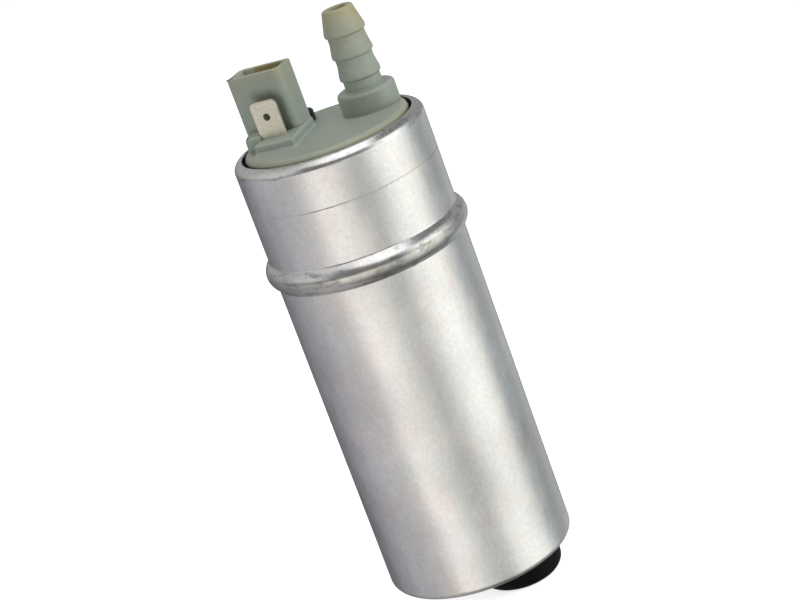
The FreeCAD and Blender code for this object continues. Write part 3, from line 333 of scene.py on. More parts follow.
def mix(share, first, second):
    """First colour where the share is zero, and the second where it is one."""
    return node("Mix", {0: share, 6: first, 7: second}, data_type="RGBA").outputs[2]


print("one degree of a sector in radians:", round(math.radians(1), 4))

# %% [markdown]
# ## Tent
# Bare metal has no shading of its own: it shows what stands round it. A photographer hangs grey and white
# panels round a can like this, and each becomes an upright band on its wall. Here the panels are one large
# ball that only mirror rays see. Up to the horizon its colour follows the bearing, so a Color Ramp holds
# one stop for each panel.

# %% Panels by bearing
PANELS = (
    # bearing from the camera in degrees, brightness, and how much more red and blue than green
    (-180, 0.13, 0.00, 0.06),
    (-148, 0.19, 0.01, 0.10),
    (-118, 0.36, 0.01, 0.10),
    (-92, 0.58, 0.02, 0.06),
    (-66, 0.65, 0.02, 0.02),
    (-50, 0.77, 0.03, -0.03),
    (-36, 1.33, 0.05, -0.04),
    (-18, 1.24, 0.05, -0.05),
    (-3, 0.98, 0.01, -0.05),
    (14, 0.67, -0.02, -0.03),
    (28, 0.73, -0.01, -0.05),
    (43, 1.29, 0.00, -0.04),
    (64, 1.54, 0.00, -0.04),
    (80, 1.33, 0.00, -0.05),
    (98, 0.57, -0.06, 0.00),
    (122, 0.37, -0.07, 0.04),
    (150, 0.59, -0.02, 0.01),
    (180, 0.15, -0.01, 0.02),
)


def panel_colour(bearing):
    """Colour of the panels at a bearing, from a ramp."""
    limits = {"Value": bearing, "From Min": -math.pi, "From Max": math.pi}
    ramp = node("ValToRGB", {0: node("MapRange", limits).outputs[0]})
    stops = ramp.color_ramp.elements
    for number, (degrees, brightness, red, blue) in enumerate(PANELS):
        share = degrees / 360 + 0.5
        stop = stops[number] if number < 2 else stops.new(share)
        stop.position = share
        stop.color = (brightness * (1 + red), brightness, brightness * (1 + blue), 1.0)
    return ramp.outputs[0]


print("panels:", len(PANELS))

# %% [markdown]
# Above the horizon lies a belt: grey on the left, dark in front, grey behind on the right, but on the right
# itself the bright panel stands taller. The left side is darker behind than in front. A bright panel hangs
# overhead, and the ground is grey on the left and dark elsewhere. Each step mixes one more of these over
# the last. Heights and widths are parts of the ball's radius, and bearings are degrees.

# %% Tent
TENT_RADIUS = 3000.0
TENT_CENTRE = 70.0
RIGHT_SIDE = (-62, -44)
FADE = 0.17
FADE_HEIGHTS = (-0.42, -0.31)
FADE_END = (98, 82)
LEFT_BEHIND = grey(0.42)
LEFT_FRONT = grey(0.70)
LEFT_CHANGE = (-0.6, 0.1)
BELT_EDGE = (-0.15, 0.0)
BELT_LEFT = grey(0.32)
BELT_LEFT_TOP = (0.02, 0.25)
BELT_FRONT = grey(0.21)
BELT_BEHIND = grey(0.33)
TALL_PANEL_START = (28, 56)
TALL_PANEL_END = (94, 114)
GROUND_EDGE = (-1.04, -0.45)
GROUND_LEFT = grey(0.42)
GROUND_RIGHT = grey(0.10)
SKY_EDGE = (0.44, 0.62)
SKY_DROP_LEFT = 0.5
SKY_RIGHT = grey(0.22, -0.03)
OVERHEAD = grey(1.4)
OVERHEAD_TURN = 0.35
OVERHEAD_LEFT_EDGE = (-0.42, -0.04)
OVERHEAD_RIGHT_EDGE = (0.48, 0.36)
OVERHEAD_BACK_EDGE = (-0.64, -0.42)


def tent_finish():
    """Brightness of the surroundings by direction."""
    material = blank_finish("tent panels")
    centred = vector_calc("ADD", own_place(), (0, 0, -TENT_CENTRE * MM))
    turn = (0, 0, math.pi / 2 - CAMERA_BEARING)
    facing = node("Mapping", {"Vector": centred, "Rotation": turn}).outputs[0]
    ahead, aside, height = parts(vector_calc("NORMALIZE", facing))
    bearing = calc("ARCTAN2", aside, ahead)
    panel = panel_colour(bearing)
    fading = product(spread(height, FADE, 0.0, *FADE_HEIGHTS), sector(bearing, *FADE_END))
    panels = mix(fading, panel, BLACK)
    right = sector(bearing, *RIGHT_SIDE)
    left = mix(spread(ahead, 0.0, 1.0, *LEFT_CHANGE), LEFT_BEHIND, LEFT_FRONT)
    belt = mix(band(height, *BELT_LEFT_TOP), BELT_LEFT, left)
    belt = mix(right, belt, BELT_FRONT)
    belt = mix(sector(bearing, *TALL_PANEL_START), belt, panel)
    belt = mix(sector(bearing, *TALL_PANEL_END), belt, BELT_BEHIND)
    ground = mix(right, GROUND_LEFT, GROUND_RIGHT)
    sky = mix(right, left, SKY_RIGHT)
    from_left = band(calc("MULTIPLY_ADD", ahead, OVERHEAD_TURN, aside), *OVERHEAD_LEFT_EDGE)
    from_right = band(calc("MULTIPLY_ADD", ahead, -OVERHEAD_TURN, aside), *OVERHEAD_RIGHT_EDGE)
    overhead = product(product(from_left, from_right), band(ahead, *OVERHEAD_BACK_EDGE))
    sky = mix(overhead, sky, OVERHEAD)
    sky_height = calc("MULTIPLY_ADD", calc("MINIMUM", aside, 0.0), SKY_DROP_LEFT, height)
    colour = mix(band(height, *BELT_EDGE), panels, belt)
    colour = mix(band(sky_height, *SKY_EDGE), colour, sky)
    colour = mix(band(height, *GROUND_EDGE), ground, colour)
    glow = node("Emission", {"Color": colour, "Strength": 1.0})
    node("OutputMaterial", {"Surface": glow.outputs[0]})
    return material


def make_tent():
    """Ball of panels that only mirror rays see."""
    bm = bmesh.new()
    bmesh.ops.create_icosphere(bm, subdivisions=5, radius=TENT_RADIUS * MM)
    bmesh.ops.translate(bm, verts=bm.verts, vec=(0, 0, TENT_CENTRE * MM))
    bmesh.ops.reverse_faces(bm, faces=bm.faces)
    tent = new_object("tent", bm, tent_finish())
    for kind in ("camera", "diffuse", "transmission", "volume_scatter", "shadow"):
        setattr(tent, "visible_" + kind, False)
    return tent


tent = make_tent()
print("tent faces:", len(tent.data.polygons))

# %% [markdown]
# ## Steps of a finish
# All the finishes share a few steps: noise on the piece's own coordinates, bumps, painted shade in corners, a
# colour that a noise clouds or darkens, and a value that it moves. Colours taken from a picture are turned
# into light first, because shaders reckon with light.

# %% Steps of a finish
def object_noise(scale, stretch=(1, 1, 1), detail=3.0, rough=0.55):
    """Noise on the piece's own coordinates. The scale is in spots per metre."""
    squeezed = node("Mapping", {"Vector": own_place(), "Scale": stretch}).outputs[0]
    settings = {"Vector": squeezed, "Scale": scale, "Detail": detail, "Roughness": rough}
    return node("TexNoise", settings).outputs["Fac"]


def add_bump(height, depth, before=None):
    """Bump of a depth in millimetres, on top of another one if it is given."""
    inputs = {"Height": height, "Distance": depth * MM}
    if before:
        inputs["Normal"] = before
    return node("Bump", inputs).outputs[0]


def painted_corner_shade(reach):
    """Painted-shade share: one deep in a corner or gap, zero in the open. Reach: how near the other face is,
    in mm.
    """
    openness = node("AmbientOcclusion", {"Distance": reach * MM}, samples=12).outputs["AO"]
    return spread(openness, 1.0, 0.0, 0.3, 0.75)


def darken(base, noise, share):
    """Colour that a noise darkens by up to a share."""
    return mix(spread(noise, share, 0.0), base, BLACK)


def clouded(noise, colour, factor):
    """Colour that turns darker or lighter with a noise."""
    return mix(spread(noise, 0.0, 1.0), shade(colour, factor), shade(colour, 1.0))


def around(noise, middle, vary):
    """Value that a noise moves round its middle."""
    return spread(noise, middle - vary, middle + vary)


def surface(**inputs):
    """Principled shader and output."""
    shader = node("BsdfPrincipled", {name.replace("_", " "): v for name, v in inputs.items()})
    node("OutputMaterial", {"Surface": shader.outputs[0]})


def linear(red, green, blue):
    """Colour as a screen shows it, from 0 to 255, as light."""
    def light(value):
        value /= 255
        return value / 12.92 if value <= 0.04045 else ((value + 0.055) / 1.055) ** 2.4
    return (light(red), light(green), light(blue), 1.0)


def shade(colour, factor):
    """Colour of light made darker or lighter by a factor."""
    return (*(min(c * factor, 1.0) for c in colour[:3]), 1.0)


print("grey at half light:", round(linear(188, 188, 188)[0], 3))

# %% [markdown]
# ## Metal and moulded finishes
# Real bare metal is never one grey. It has broad smudges, a fine grain and dull flecks, which change how
# rough it is as well as its colour. A ground or drawn piece gets the same grain, stretched along. Plastic
# and rubber are cloudy, and show the grain of their mould.

# %% Metal and moulded finishes
def metal_finish(
    name, colour, roughness, vary=0.06, grain=900, stretch=(1, 1, 1), depth=0.004, tint=0.9, fleck=0.1,
):
    """Bare metal with broad smudges, a fine grain and dull flecks."""
    material = blank_finish(name)
    smudge = object_noise(110, detail=4.0)
    fine = object_noise(grain, stretch)
    base = darken(clouded(smudge, colour, tint), fine, fleck)
    rough = calc("ADD", around(smudge, roughness, vary), around(fine, 0.0, vary / 2))
    surface(Base_Color=base, Metallic=1.0, Roughness=rough, Normal=add_bump(fine, depth))
    return material


def moulded_finish(name, colour, roughness, vary=0.06, grain=1400, tint=0.88, gloss=0.5):
    """Moulded plastic or rubber with a faint mottle and an eroded mould's grain."""
    material = blank_finish(name)
    cloud = object_noise(140, detail=5.0)
    fine = object_noise(grain, detail=2.0)
    surface(
        Base_Color=clouded(cloud, colour, tint), Roughness=around(cloud, roughness, vary),
        Normal=add_bump(fine, 0.012), Specular_IOR_Level=gloss,
    )
    return material


print("finishes so far:", len(bpy.data.materials))

# %% [markdown]
# ## Turning a piece
# Most pieces are half a section spun about an upright line, as on a lathe. The section is a few corners
# joined by edges. Each corner gets its own radius with bevel on vertices, which slides along the two edges:
# for a radius r at a corner that turns by t, the slide is r tan(t / 2). At a square corner that gives a
# true arc, and elsewhere a curve near one. Then spin carries the section round, and its last copy is merged
# with the first.

# %% Helpers for turned pieces
AXIS_EPSILON = 1e-6


def slide_for(radius, before, here, after):
    """How far a bevel of that radius reaches along the edges at a corner."""
    turn = (here - before).angle(after - here)
    return radius * math.tan(turn / 2)


def section(corners, segments=6, closed=True, bm=None):
    """Section from corners of (radius, height, rounding) in the XZ plane, on its own or added to a bmesh."""
    bm = bm or bmesh.new()
    verts = [bm.verts.new((r * MM, 0, z * MM)) for r, z, _ in corners]
    for here, there in zip(verts, verts[1:] + verts[:closed]):
        bm.edges.new((here, there))
    spots = [v.co.copy() for v in verts]
    for number, (_, _, rounding) in enumerate(corners):
        if rounding:
            after = spots[(number + 1) % len(spots)]
            reach = slide_for(rounding * MM, spots[number - 1], spots[number], after)
            bmesh.ops.bevel(
                bm, geom=[verts[number]], offset=reach, offset_type="OFFSET", affect="VERTICES",
                segments=segments, profile=0.5, material=-1,
            )
    return bm


def turn_section(bm, centre=(0.0, 0.0), steps=96):
    """Section spun about its axis, closed at the poles, faces out, and moved to its centre."""
    bmesh.ops.spin(
        bm, geom=bm.verts[:] + bm.edges[:], cent=(0, 0, 0), axis=(0, 0, 1), angle=2 * math.pi,
        steps=steps, use_merge=True, use_duplicate=False,
    )
    bmesh.ops.remove_doubles(bm, verts=bm.verts, dist=AXIS_EPSILON)
    bmesh.ops.recalc_face_normals(bm, faces=bm.faces)
    bmesh.ops.translate(bm, verts=bm.verts, vec=(centre[0] * MM, centre[1] * MM, 0))
    return bm


print("slide for 1 mm at a square corner:", round(slide_for(1, *map(Vector, ((0, 0), (1, 0), (1, 1)))), 3))

# %% [markdown]
# ## Adding a piece
# Every mesh becomes a piece in the same way. Its faces are smooth, except past an angle, and weighted
# normals keep flat faces flat. Then it is hung on the body it rides on, if it has one, and the CAD node it
# stands for is hidden. A closed piece has no open edges, so they are counted.

# %% Adding a piece
CRISP = 40.0


def open_edges(bm):
    """How many edges don't join exactly two faces."""
    return sum(len(e.link_faces) != 2 for e in bm.edges)


def add_piece(name, bm, finish, replaces, body="housing"):
    """Object from a bmesh: smooth faces, crisp edges past an angle, a finish, and its place in the frame."""
    loose = open_edges(bm)
    piece = new_object(name, bm, finish)
    mesh = piece.data
    mesh.shade_smooth()
    mesh.set_sharp_from_angle(angle=math.radians(CRISP))
    even = piece.modifiers.new("even normals", "WEIGHTED_NORMAL")
    even.keep_sharp = True
    if body:
        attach(piece, body)
    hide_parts(replaces)
    low, high = Vector(piece.bound_box[0]), Vector(piece.bound_box[6])
    size = [round(v / MM, 2) for v in high - low]
    print(name, "faces", len(mesh.polygons), "open edges", loose, "size in mm", size)
    return piece


print("CAD nodes to dress:", len(cad_nodes))

# %% [markdown]
# ## Can
# The can is drawn aluminium, one millimetre thick. Both ends are rolled in over what they hold, a bead is
# rolled out of the wall as a stop for the bracket, and a fine line is scribed above it. One closed section
# holds both sides of the wall. The bead is a triangle whose crest and feet are bevelled.

# %% Can wall
CAN_R = 21.5
WALL = 1.0
CAN_BOTTOM = 7.0
TOP_BEND = 2.0
TOP_LIP_R = 19.3
BASE_BEND = 1.6
BASE_LIP_R = 18.5
BEAD_Z = RIM - 25.8
BEAD_HALF = 2.861
BEAD_PEAK = 3.566
BEAD_ROUND = 3.45
BEAD_BLEND = 0.52
LINE_Z = RIM - 10.4
LINE_HALF = 0.175
LINE_DEPTH = 0.12
LIP_EDGE = 0.12


def can_section():
    """Corners of the can's wall, up the outside and down the inside."""
    inner = CAN_R - WALL
    slope = math.atan2(BEAD_PEAK, BEAD_HALF)
    half = BEAD_HALF - WALL * math.tan(slope / 2)
    peak = half * math.tan(slope)
    outside = [
        (BASE_LIP_R, CAN_BOTTOM, LIP_EDGE),
        (CAN_R, CAN_BOTTOM, BASE_BEND),
        (CAN_R, BEAD_Z - BEAD_HALF, BEAD_BLEND),
        (CAN_R + BEAD_PEAK, BEAD_Z, BEAD_ROUND),
        (CAN_R, BEAD_Z + BEAD_HALF, BEAD_BLEND),
        (CAN_R, LINE_Z - LINE_HALF, 0.0),
        (CAN_R - LINE_DEPTH, LINE_Z, 0.0),
        (CAN_R, LINE_Z + LINE_HALF, 0.0),
        (CAN_R, RIM, TOP_BEND),
        (TOP_LIP_R, RIM, LIP_EDGE),
    ]
    inside = [
        (TOP_LIP_R, RIM - WALL, LIP_EDGE),
        (inner, RIM - WALL, TOP_BEND - WALL),
        (inner, BEAD_Z + half, BEAD_BLEND + WALL),
        (inner + peak, BEAD_Z, BEAD_ROUND - WALL),
        (inner, BEAD_Z - half, BEAD_BLEND + WALL),
        (inner, CAN_BOTTOM + WALL, BASE_BEND - WALL),
        (BASE_LIP_R, CAN_BOTTOM + WALL, LIP_EDGE),
    ]
    return outside + inside


can = turn_section(section(can_section(), 14), steps=240)
print("can's points:", len(can.verts))

# %% [markdown]
# The can's finish tells what the rollers did. The wall is smudged and a little wavy, so the panels' edges
# come out soft and uneven. The bead and the rim are burnished and darkened in broken streaks, and the
# bead's crest is worn dull. Shade is painted darker into the can's creases and corners. Height alone says
# which is which, so no image has to be wrapped round the can.

# %% Can finish
WALL_ROUGHNESS = 0.29
UNEVEN = 0.05
BURNISHED = 0.24
TINT_COOL = linear(243, 246, 246)
TINT_WARM = linear(249, 244, 241)
WORN = linear(140, 139, 116)
CAN_CORNER_SHADE = grey(0.02)
STREAK_DARK = grey(0.05)
ROLLED_BELOW = (-3.6, -2.6)
ROLLED_ABOVE = (3.6, 2.6)
CREST_BELOW = (-1.6, -0.4)
CREST_ABOVE = (1.1, 0.4)
ROLLED_RIM = (-2.4, -1.8)


def can_finish(name):
    """Drawn aluminium, wavy, smudged and grainy; burnished, dark-streaked where rolled; worn crest; painted
    shade in creases.
    """
    material = blank_finish(name)
    height = parts(own_place())["Z"]
    waves = object_noise(32, stretch=(1, 1, 0.7), detail=1.5)
    patch = object_noise(60, stretch=(1, 1, 0.8), detail=4.0)
    tint = object_noise(130, stretch=(1.3, 1.3, 0.8), detail=3.0)
    smudge = object_noise(330, stretch=(1, 1, 0.5), detail=5.0, rough=0.62)
    fine = object_noise(1300, stretch=(1, 1, 0.8), detail=3.0, rough=0.75)
    base = mix(spread(tint, 0.0, 1.0), TINT_COOL, TINT_WARM)
    base = darken(base, patch, 0.2)
    base = darken(base, smudge, 0.12)
    base = darken(base, fine, 0.15)
    # Painted shade: the can's creases and corners, which Ambient Occlusion finds, are darkened towards black.
    base = mix(product(painted_corner_shade(1.2), 0.5), base, CAN_CORNER_SHADE)
    on_bead = product(zone(height, *ROLLED_BELOW, BEAD_Z), zone(height, *ROLLED_ABOVE, BEAD_Z))
    rolled = calc("MAXIMUM", on_bead, zone(height, *ROLLED_RIM, RIM))
    crest = product(zone(height, *CREST_BELOW, BEAD_Z), zone(height, *CREST_ABOVE, BEAD_Z))
    base = mix(product(crest, spread(smudge, 0.55, 0.15)), base, WORN)
    # Broken dark streaks on the bead and the rim, stretched round the can.
    dark_streaks = object_noise(230, stretch=(1, 1, 2.4), detail=4.0, rough=0.6)
    base = mix(product(rolled, spread(dark_streaks, 0.0, 0.5, 0.53, 0.68)), base, STREAK_DARK)
    values = {0: rolled, 2: around(smudge, WALL_ROUGHNESS, UNEVEN), 3: BURNISHED}
    rough = node("Mix", values, data_type="FLOAT").outputs[0]
    bumps = add_bump(fine, 0.003, add_bump(smudge, 0.012, add_bump(waves, 1.6)))
    surface(Base_Color=base, Metallic=1.0, Roughness=rough, Normal=bumps)
    return material


aluminium = can_finish("can aluminium")
add_piece("can_shell", can, aluminium, "can")

# %% [markdown]
# ## End cover
# On the real pump the cover is one moulding. Here it is several closed pieces that sink a little into one
# another, because each has its own simple making. The round plate comes first, with its skirt down inside
# the can and the hub of the upper bearing. Two bores go through it, so its flat faces are filled between
# circles, and each bore's wall is bridged from one circle to the other.

# %% Cover plate
COVER_R = 18.45
COVER_TOP = RIM + 0.9
COVER_EDGE = 1.3
PLATE_UNDER = COVER_TOP - 5.0
SKIRT_R = 20.45
SKIRT_INNER_R = 18.95
SKIRT_BOTTOM = PLATE_UNDER - 20.0
FLANGE_TOP = RIM - 3.0
HUB_BOTTOM = PLATE_UNDER - 12.5
HUB_R = 5.3
BUSH_R = 4.05
BUSH_TOP = HUB_BOTTOM + 7.0
SHAFT_HOLE_R = 2.65
OUTLET = (8.169, 8.459)
CHAMBER_R = 3.6
RELIEF = (-7.978, 8.407)
RELIEF_BORE_R = 1.85
SINK = 0.3
SAME = 1e-7


def edge_at(edge, height):
    """True if an edge lies at a height."""
    return all(abs(v.co.z - height * MM) < SAME for v in edge.verts)


def hole_circle(bm, centre, radius, height):
    """Circle of edges where a bore meets a flat face."""
    place = Matrix.Translation(spot(*centre, height))
    made = bmesh.ops.create_circle(bm, cap_ends=False, segments=48, radius=radius * MM, matrix=place)
    return [e for e in bm.edges if e.verts[0] in made["verts"] and e.verts[1] in made["verts"]]


def fill_between(bm, height):
    """Flat face between all the open circles at a height."""
    rims = [e for e in bm.edges if edge_at(e, height) and len(e.link_faces) < 2]
    bmesh.ops.triangle_fill(bm, use_beauty=True, use_dissolve=False, edges=rims)


def cover_plate():
    """Round plate with its rounded edge, flange, skirt, bearing hub and two bores."""
    bm = section([
        (COVER_R - COVER_EDGE - 0.1, COVER_TOP, 0.0),
        (COVER_R, COVER_TOP, COVER_EDGE),
        (COVER_R, FLANGE_TOP, 0.0),
        (SKIRT_R, FLANGE_TOP, 0.3),
        (SKIRT_R, SKIRT_BOTTOM, 0.2),
        (SKIRT_INNER_R, SKIRT_BOTTOM, 0.2),
        (SKIRT_INNER_R, PLATE_UNDER, 0.0),
    ], closed=False)
    section([
        (HUB_R, PLATE_UNDER, 0.0),
        (HUB_R, HUB_BOTTOM, 0.3),
        (BUSH_R, HUB_BOTTOM, 0.2),
        (BUSH_R, BUSH_TOP, 0.0),
        (SHAFT_HOLE_R, BUSH_TOP, 0.0),
        (SHAFT_HOLE_R, BUSH_TOP + 1.2, 0.0),
        (0.0, BUSH_TOP + 1.2, 0.0),
    ], closed=False, bm=bm)
    turn_section(bm)
    for centre, radius in ((OUTLET, CHAMBER_R + SINK), (RELIEF, RELIEF_BORE_R)):
        upper = hole_circle(bm, centre, radius, COVER_TOP)
        lower = hole_circle(bm, centre, radius, PLATE_UNDER)
        bmesh.ops.bridge_loops(bm, edges=upper + lower)
    fill_between(bm, COVER_TOP)
    fill_between(bm, PLATE_UNDER)
    bmesh.ops.recalc_face_normals(bm, faces=bm.faces)
    return bm


plate = cover_plate()
print("plate's points:", len(plate.verts))

# %% [markdown]
# The cover's plastic is grey-green and lets a little light in. It has aged: it is yellowed at the edge and
# up the outlet. Shade is painted darker in front of the outlet's boss, and the blade's shadow is painted on
# the socket behind it. The painted shadow's share comes from the distance to the blade, so it follows the
# blade's outline. Shade is also painted into the corners, which Ambient Occlusion finds.

# %% Cover finish
COVER_GREY = linear(144, 153, 146)
COVER_GREEN = linear(141, 149, 135)
AGED = linear(154, 148, 112)
PAINTED_SHADE = linear(66, 64, 44)
BOSS_SHADE = shade(COVER_GREEN, 0.55)
AGED_TIP = (8.0, 24.0)
AGED_EDGE = (16.2, COVER_R + 0.5)
EDGE_HEIGHTS = (1.5, 0.3)
BLADE_SHADOW_AT = (-8.7 * MM, -1.95 * MM, (COVER_TOP + 9.7) * MM)
BLADE_SHADOW_REACH = (2.7, 0.2)
BLADE_SHADOW_LEFT = (-14.0, -11.5)
BOSS_FRONT = (9.0 * MM, 2.0 * MM, (COVER_TOP + 0.8) * MM)
BOSS_SHADE_REACH = (7.5, 2.5)
BOSS_SHADE_HEIGHTS = (0.0, 0.5)
CORNER_SHADE_BACK = (13.0, 9.0)


def cover_finish(name):
    """Grey-green plastic, uneven in tone and aged, with painted shade by the boss, behind the blade and in
    corners.
    """
    material = blank_finish(name)
    place = own_place()
    across, back, height = parts(place)
    tone = object_noise(120, stretch=(1, 1, 1.5), detail=4.0)
    mottle = object_noise(600, detail=4.0, rough=0.6)
    fine = object_noise(2200, detail=2.0)
    base = mix(spread(tone, 0.0, 1.0, 0.35, 0.65), COVER_GREY, COVER_GREEN)
    base = darken(base, mottle, 0.10)
    raised = zone(height, *AGED_TIP, COVER_TOP)
    base = mix(product(raised, spread(tone, 0.4, 0.9)), base, AGED)
    reach = vector_calc("LENGTH", vector_calc("MULTIPLY", place, (1, 1, 0)))
    outer = product(zone(reach, *AGED_EDGE), zone(height, *EDGE_HEIGHTS, COVER_TOP))
    base = mix(product(outer, spread(tone, 0.65, 0.1)), base, AGED)
    # Painted shadow of the blade on the socket's front face, darker near the blade's outline.
    offset = vector_calc("SUBTRACT", place, BLADE_SHADOW_AT)
    outside = vector_calc("MAXIMUM", offset, vector_calc("MULTIPLY", offset, (0, -1, 0)))
    blade_shadow = product(zone(vector_calc("LENGTH", outside), *BLADE_SHADOW_REACH), zone(across, *BLADE_SHADOW_LEFT))
    base = mix(product(blade_shadow, 0.7), base, PAINTED_SHADE)
    # Painted shade on the lower front of the outlet's boss, just above the cover's face.
    near_boss = zone(vector_calc("DISTANCE", place, BOSS_FRONT), *BOSS_SHADE_REACH)
    dull = product(near_boss, zone(height, *BOSS_SHADE_HEIGHTS, COVER_TOP))
    base = mix(product(dull, 0.55), base, BOSS_SHADE)
    # Painted shade in corners and gaps, which Ambient Occlusion finds, fading towards the back.
    corners = product(painted_corner_shade(3.0), zone(back, *CORNER_SHADE_BACK))
    base = mix(product(corners, spread(mottle, 0.5, 0.75)), base, PAINTED_SHADE)
    bumps = add_bump(fine, 0.008, add_bump(mottle, 0.03))
    surface(
        Base_Color=base, Roughness=spread(mottle, 0.40, 0.56), Normal=bumps, Subsurface_Weight=0.22,
        Subsurface_Radius=(0.9, 1.0, 0.8), Subsurface_Scale=0.9 * MM,
    )
    return material


def add_cover_piece(name, bm):
    """Piece of the end cover."""
    return add_piece(name, bm, plastic, "end_cover")


plastic = cover_finish("cover plastic")
add_cover_piece("cover_plate", plate)

# %% [markdown]
# ## Hose outlet
# The outlet is a round boss, a neck with three barbs and a long nose, and a bore down to the chamber of the
# check valve, whose tube goes on below the plate. A loop adds the corners of the barbs. The photograph
# shows no shadow of the outlet on the cover, so light linking lets the key lamp's light past it.

# %% Hose outlet
BOSS_R = 6.5
BOSS_TOP = COVER_TOP + 4.7
BOSS_FOOT = FLANGE_TOP + 0.5
NECK_R = 4.15
BARB_R = 4.6
BARB_PITCH = 4.95
BARB_FIRST = 2.3
BARB_STEP = 0.4
BARB_LAND = 0.7
BARB_TAPER = 2.5
NOSE = 4.8
TIP_R = 3.4
BORE_R = 2.0
TUBE_BOTTOM = PLATE_UNDER - 6.9
CHAMBER_TOP = COVER_TOP + 1.6
TUBE_WALL = 1.0


def outlet_corners():
    """Up the outside of the outlet and down its bore."""
    corners = [
        (CHAMBER_R, TUBE_BOTTOM, 0.2),
        (CHAMBER_R + TUBE_WALL, TUBE_BOTTOM, 0.2),
        (CHAMBER_R + TUBE_WALL, BOSS_FOOT, 0.0),
        (BOSS_R, BOSS_FOOT, 0.0),
        (BOSS_R, BOSS_TOP, 0.8),
        (NECK_R, BOSS_TOP, 0.35),
    ]
    for number in range(3):
        foot = BOSS_TOP + BARB_FIRST + number * BARB_PITCH
        land = foot + BARB_STEP
        corners += [(NECK_R, foot, 0.12), (BARB_R, land, 0.14), (BARB_R, land + BARB_LAND, 0.5)]
        if number < 2:
            corners.append((NECK_R, land + BARB_LAND + BARB_TAPER, 1.0))
    top = corners[-1][1] + NOSE
    corners += [
        (TIP_R, top, 0.45),
        (BORE_R, top, 0.25),
        (BORE_R, CHAMBER_TOP, 0.0),
        (CHAMBER_R, CHAMBER_TOP, 0.3),
    ]
    return corners


outlet = turn_section(section(outlet_corners(), 5), OUTLET)
outlet_piece = add_cover_piece("hose_outlet", outlet)


def let_past(lamp, piece):
    """Lets a lamp's light past one piece, which then throws no shadow from it."""
    passing = bpy.data.collections.new("let past " + lamp.name)
    passing.objects.link(piece)
    passing.collection_objects[0].light_linking.link_state = "EXCLUDE"
    lamp.light_linking.blocker_collection = passing


let_past(lamps["key"], outlet_piece)

# %% [markdown]
# ## Connector
# The socket takes the plug of the pump's lead. It is a box with rounded edges, open at the top: a cube is
# scaled to its corners, and its upright edges are bevelled, each to its own radius. The helpers come first,
# because the other blocks and the blade need them too.

# %% Helpers for blocks
def block(low, high):
    """Closed box between two corners."""
    bm = bmesh.new()
    bmesh.ops.create_cube(bm, size=1.0)
    bmesh.ops.scale(bm, verts=bm.verts, vec=[(b - a) * MM for a, b in zip(low, high)])
    bmesh.ops.translate(bm, verts=bm.verts, vec=[(a + b) / 2 * MM for a, b in zip(low, high)])
    return bm


def round_edges(bm, chosen, radius, segments=5):
    """Bevels the chosen square edges to a radius."""
    bmesh.ops.bevel(
        bm, geom=chosen, offset=radius * MM, offset_type="OFFSET", affect="EDGES",
        segments=segments, profile=0.5, material=-1,
    )


def push_faces(bm, faces, move):
    """Extrudes faces by a move in millimetres and returns the new vertices."""
    made = bmesh.ops.extrude_face_region(bm, geom=faces)
    verts = [v for v in made["geom"] if isinstance(v, bmesh.types.BMVert)]
    bmesh.ops.translate(bm, verts=verts, vec=[length * MM for length in move])
    return verts


def upright_edges(bm, at=None):
    """Upright edges, or only the one at a corner."""
    found = []
    for edge in bm.edges:
        a, b = edge.verts[0].co, edge.verts[1].co
        if abs(a.x - b.x) < SAME and abs(a.y - b.y) < SAME and abs(a.z - b.z) > SAME:
            if at is None or (abs(a.x - at[0] * MM) < SAME and abs(a.y - at[1] * MM) < SAME):
                found.append(edge)
    return found


def level_edges(bm, height):
    """Edges that lie flat at a height."""
    return [e for e in bm.edges if edge_at(e, height)]


# %% [markdown]
# The socket's hollow is an inset of the top face that is pushed down, so its wall is as thick all round,
# and then its lips are rounded. The hollow is paler than the outside and browner in the middle, so it
# gets a finish of its own in a second material slot.

# %% Socket
SOCKET_LOW = (-17.448, -1.95, COVER_TOP - 1.0)
SOCKET_HIGH = (-4.548, 5.35, COVER_TOP + 15.6)
SOCKET_WALL = 1.1
SOCKET_FLOOR = COVER_TOP + 4.0
SOCKET_CORNER = 1.3
SOCKET_FRONT = 1.9
SOCKET_SHARP = 0.5
SOCKET_LIP = 0.28


def socket_shell():
    """Open socket with rounded corners and lips."""
    bm = block(SOCKET_LOW, SOCKET_HIGH)
    sharp = SOCKET_LOW
    wide = (SOCKET_HIGH[0], SOCKET_LOW[1])
    front = upright_edges(bm, sharp) + upright_edges(bm, wide)
    round_edges(bm, [e for e in upright_edges(bm) if e not in front], SOCKET_CORNER, 8)
    round_edges(bm, upright_edges(bm, sharp), SOCKET_SHARP)
    round_edges(bm, upright_edges(bm, wide), SOCKET_FRONT, 8)
    top = [f for f in bm.faces if all(abs(v.co.z - SOCKET_HIGH[2] * MM) < SAME for v in f.verts)]
    bmesh.ops.inset_region(bm, faces=top, thickness=SOCKET_WALL * MM, use_even_offset=True)
    floor_verts = push_faces(bm, top, (0, 0, SOCKET_FLOOR - SOCKET_HIGH[2]))
    bmesh.ops.delete(bm, geom=top, context="FACES")
    for vert in floor_verts:
        for face in vert.link_faces:
            face.material_index = 1
    lips = [e for e in level_edges(bm, SOCKET_HIGH[2]) if not e.is_boundary and e.calc_face_angle() > 1.0]
    round_edges(bm, lips, SOCKET_LIP, 3)
    return bm


PALE_HOLLOW = linear(172, 171, 153)
BROWN_HOLLOW = linear(150, 142, 102)
HOLLOW_LEFT = (-14.4, -12.6)
HOLLOW_RIGHT = (-6.2, -7.2)


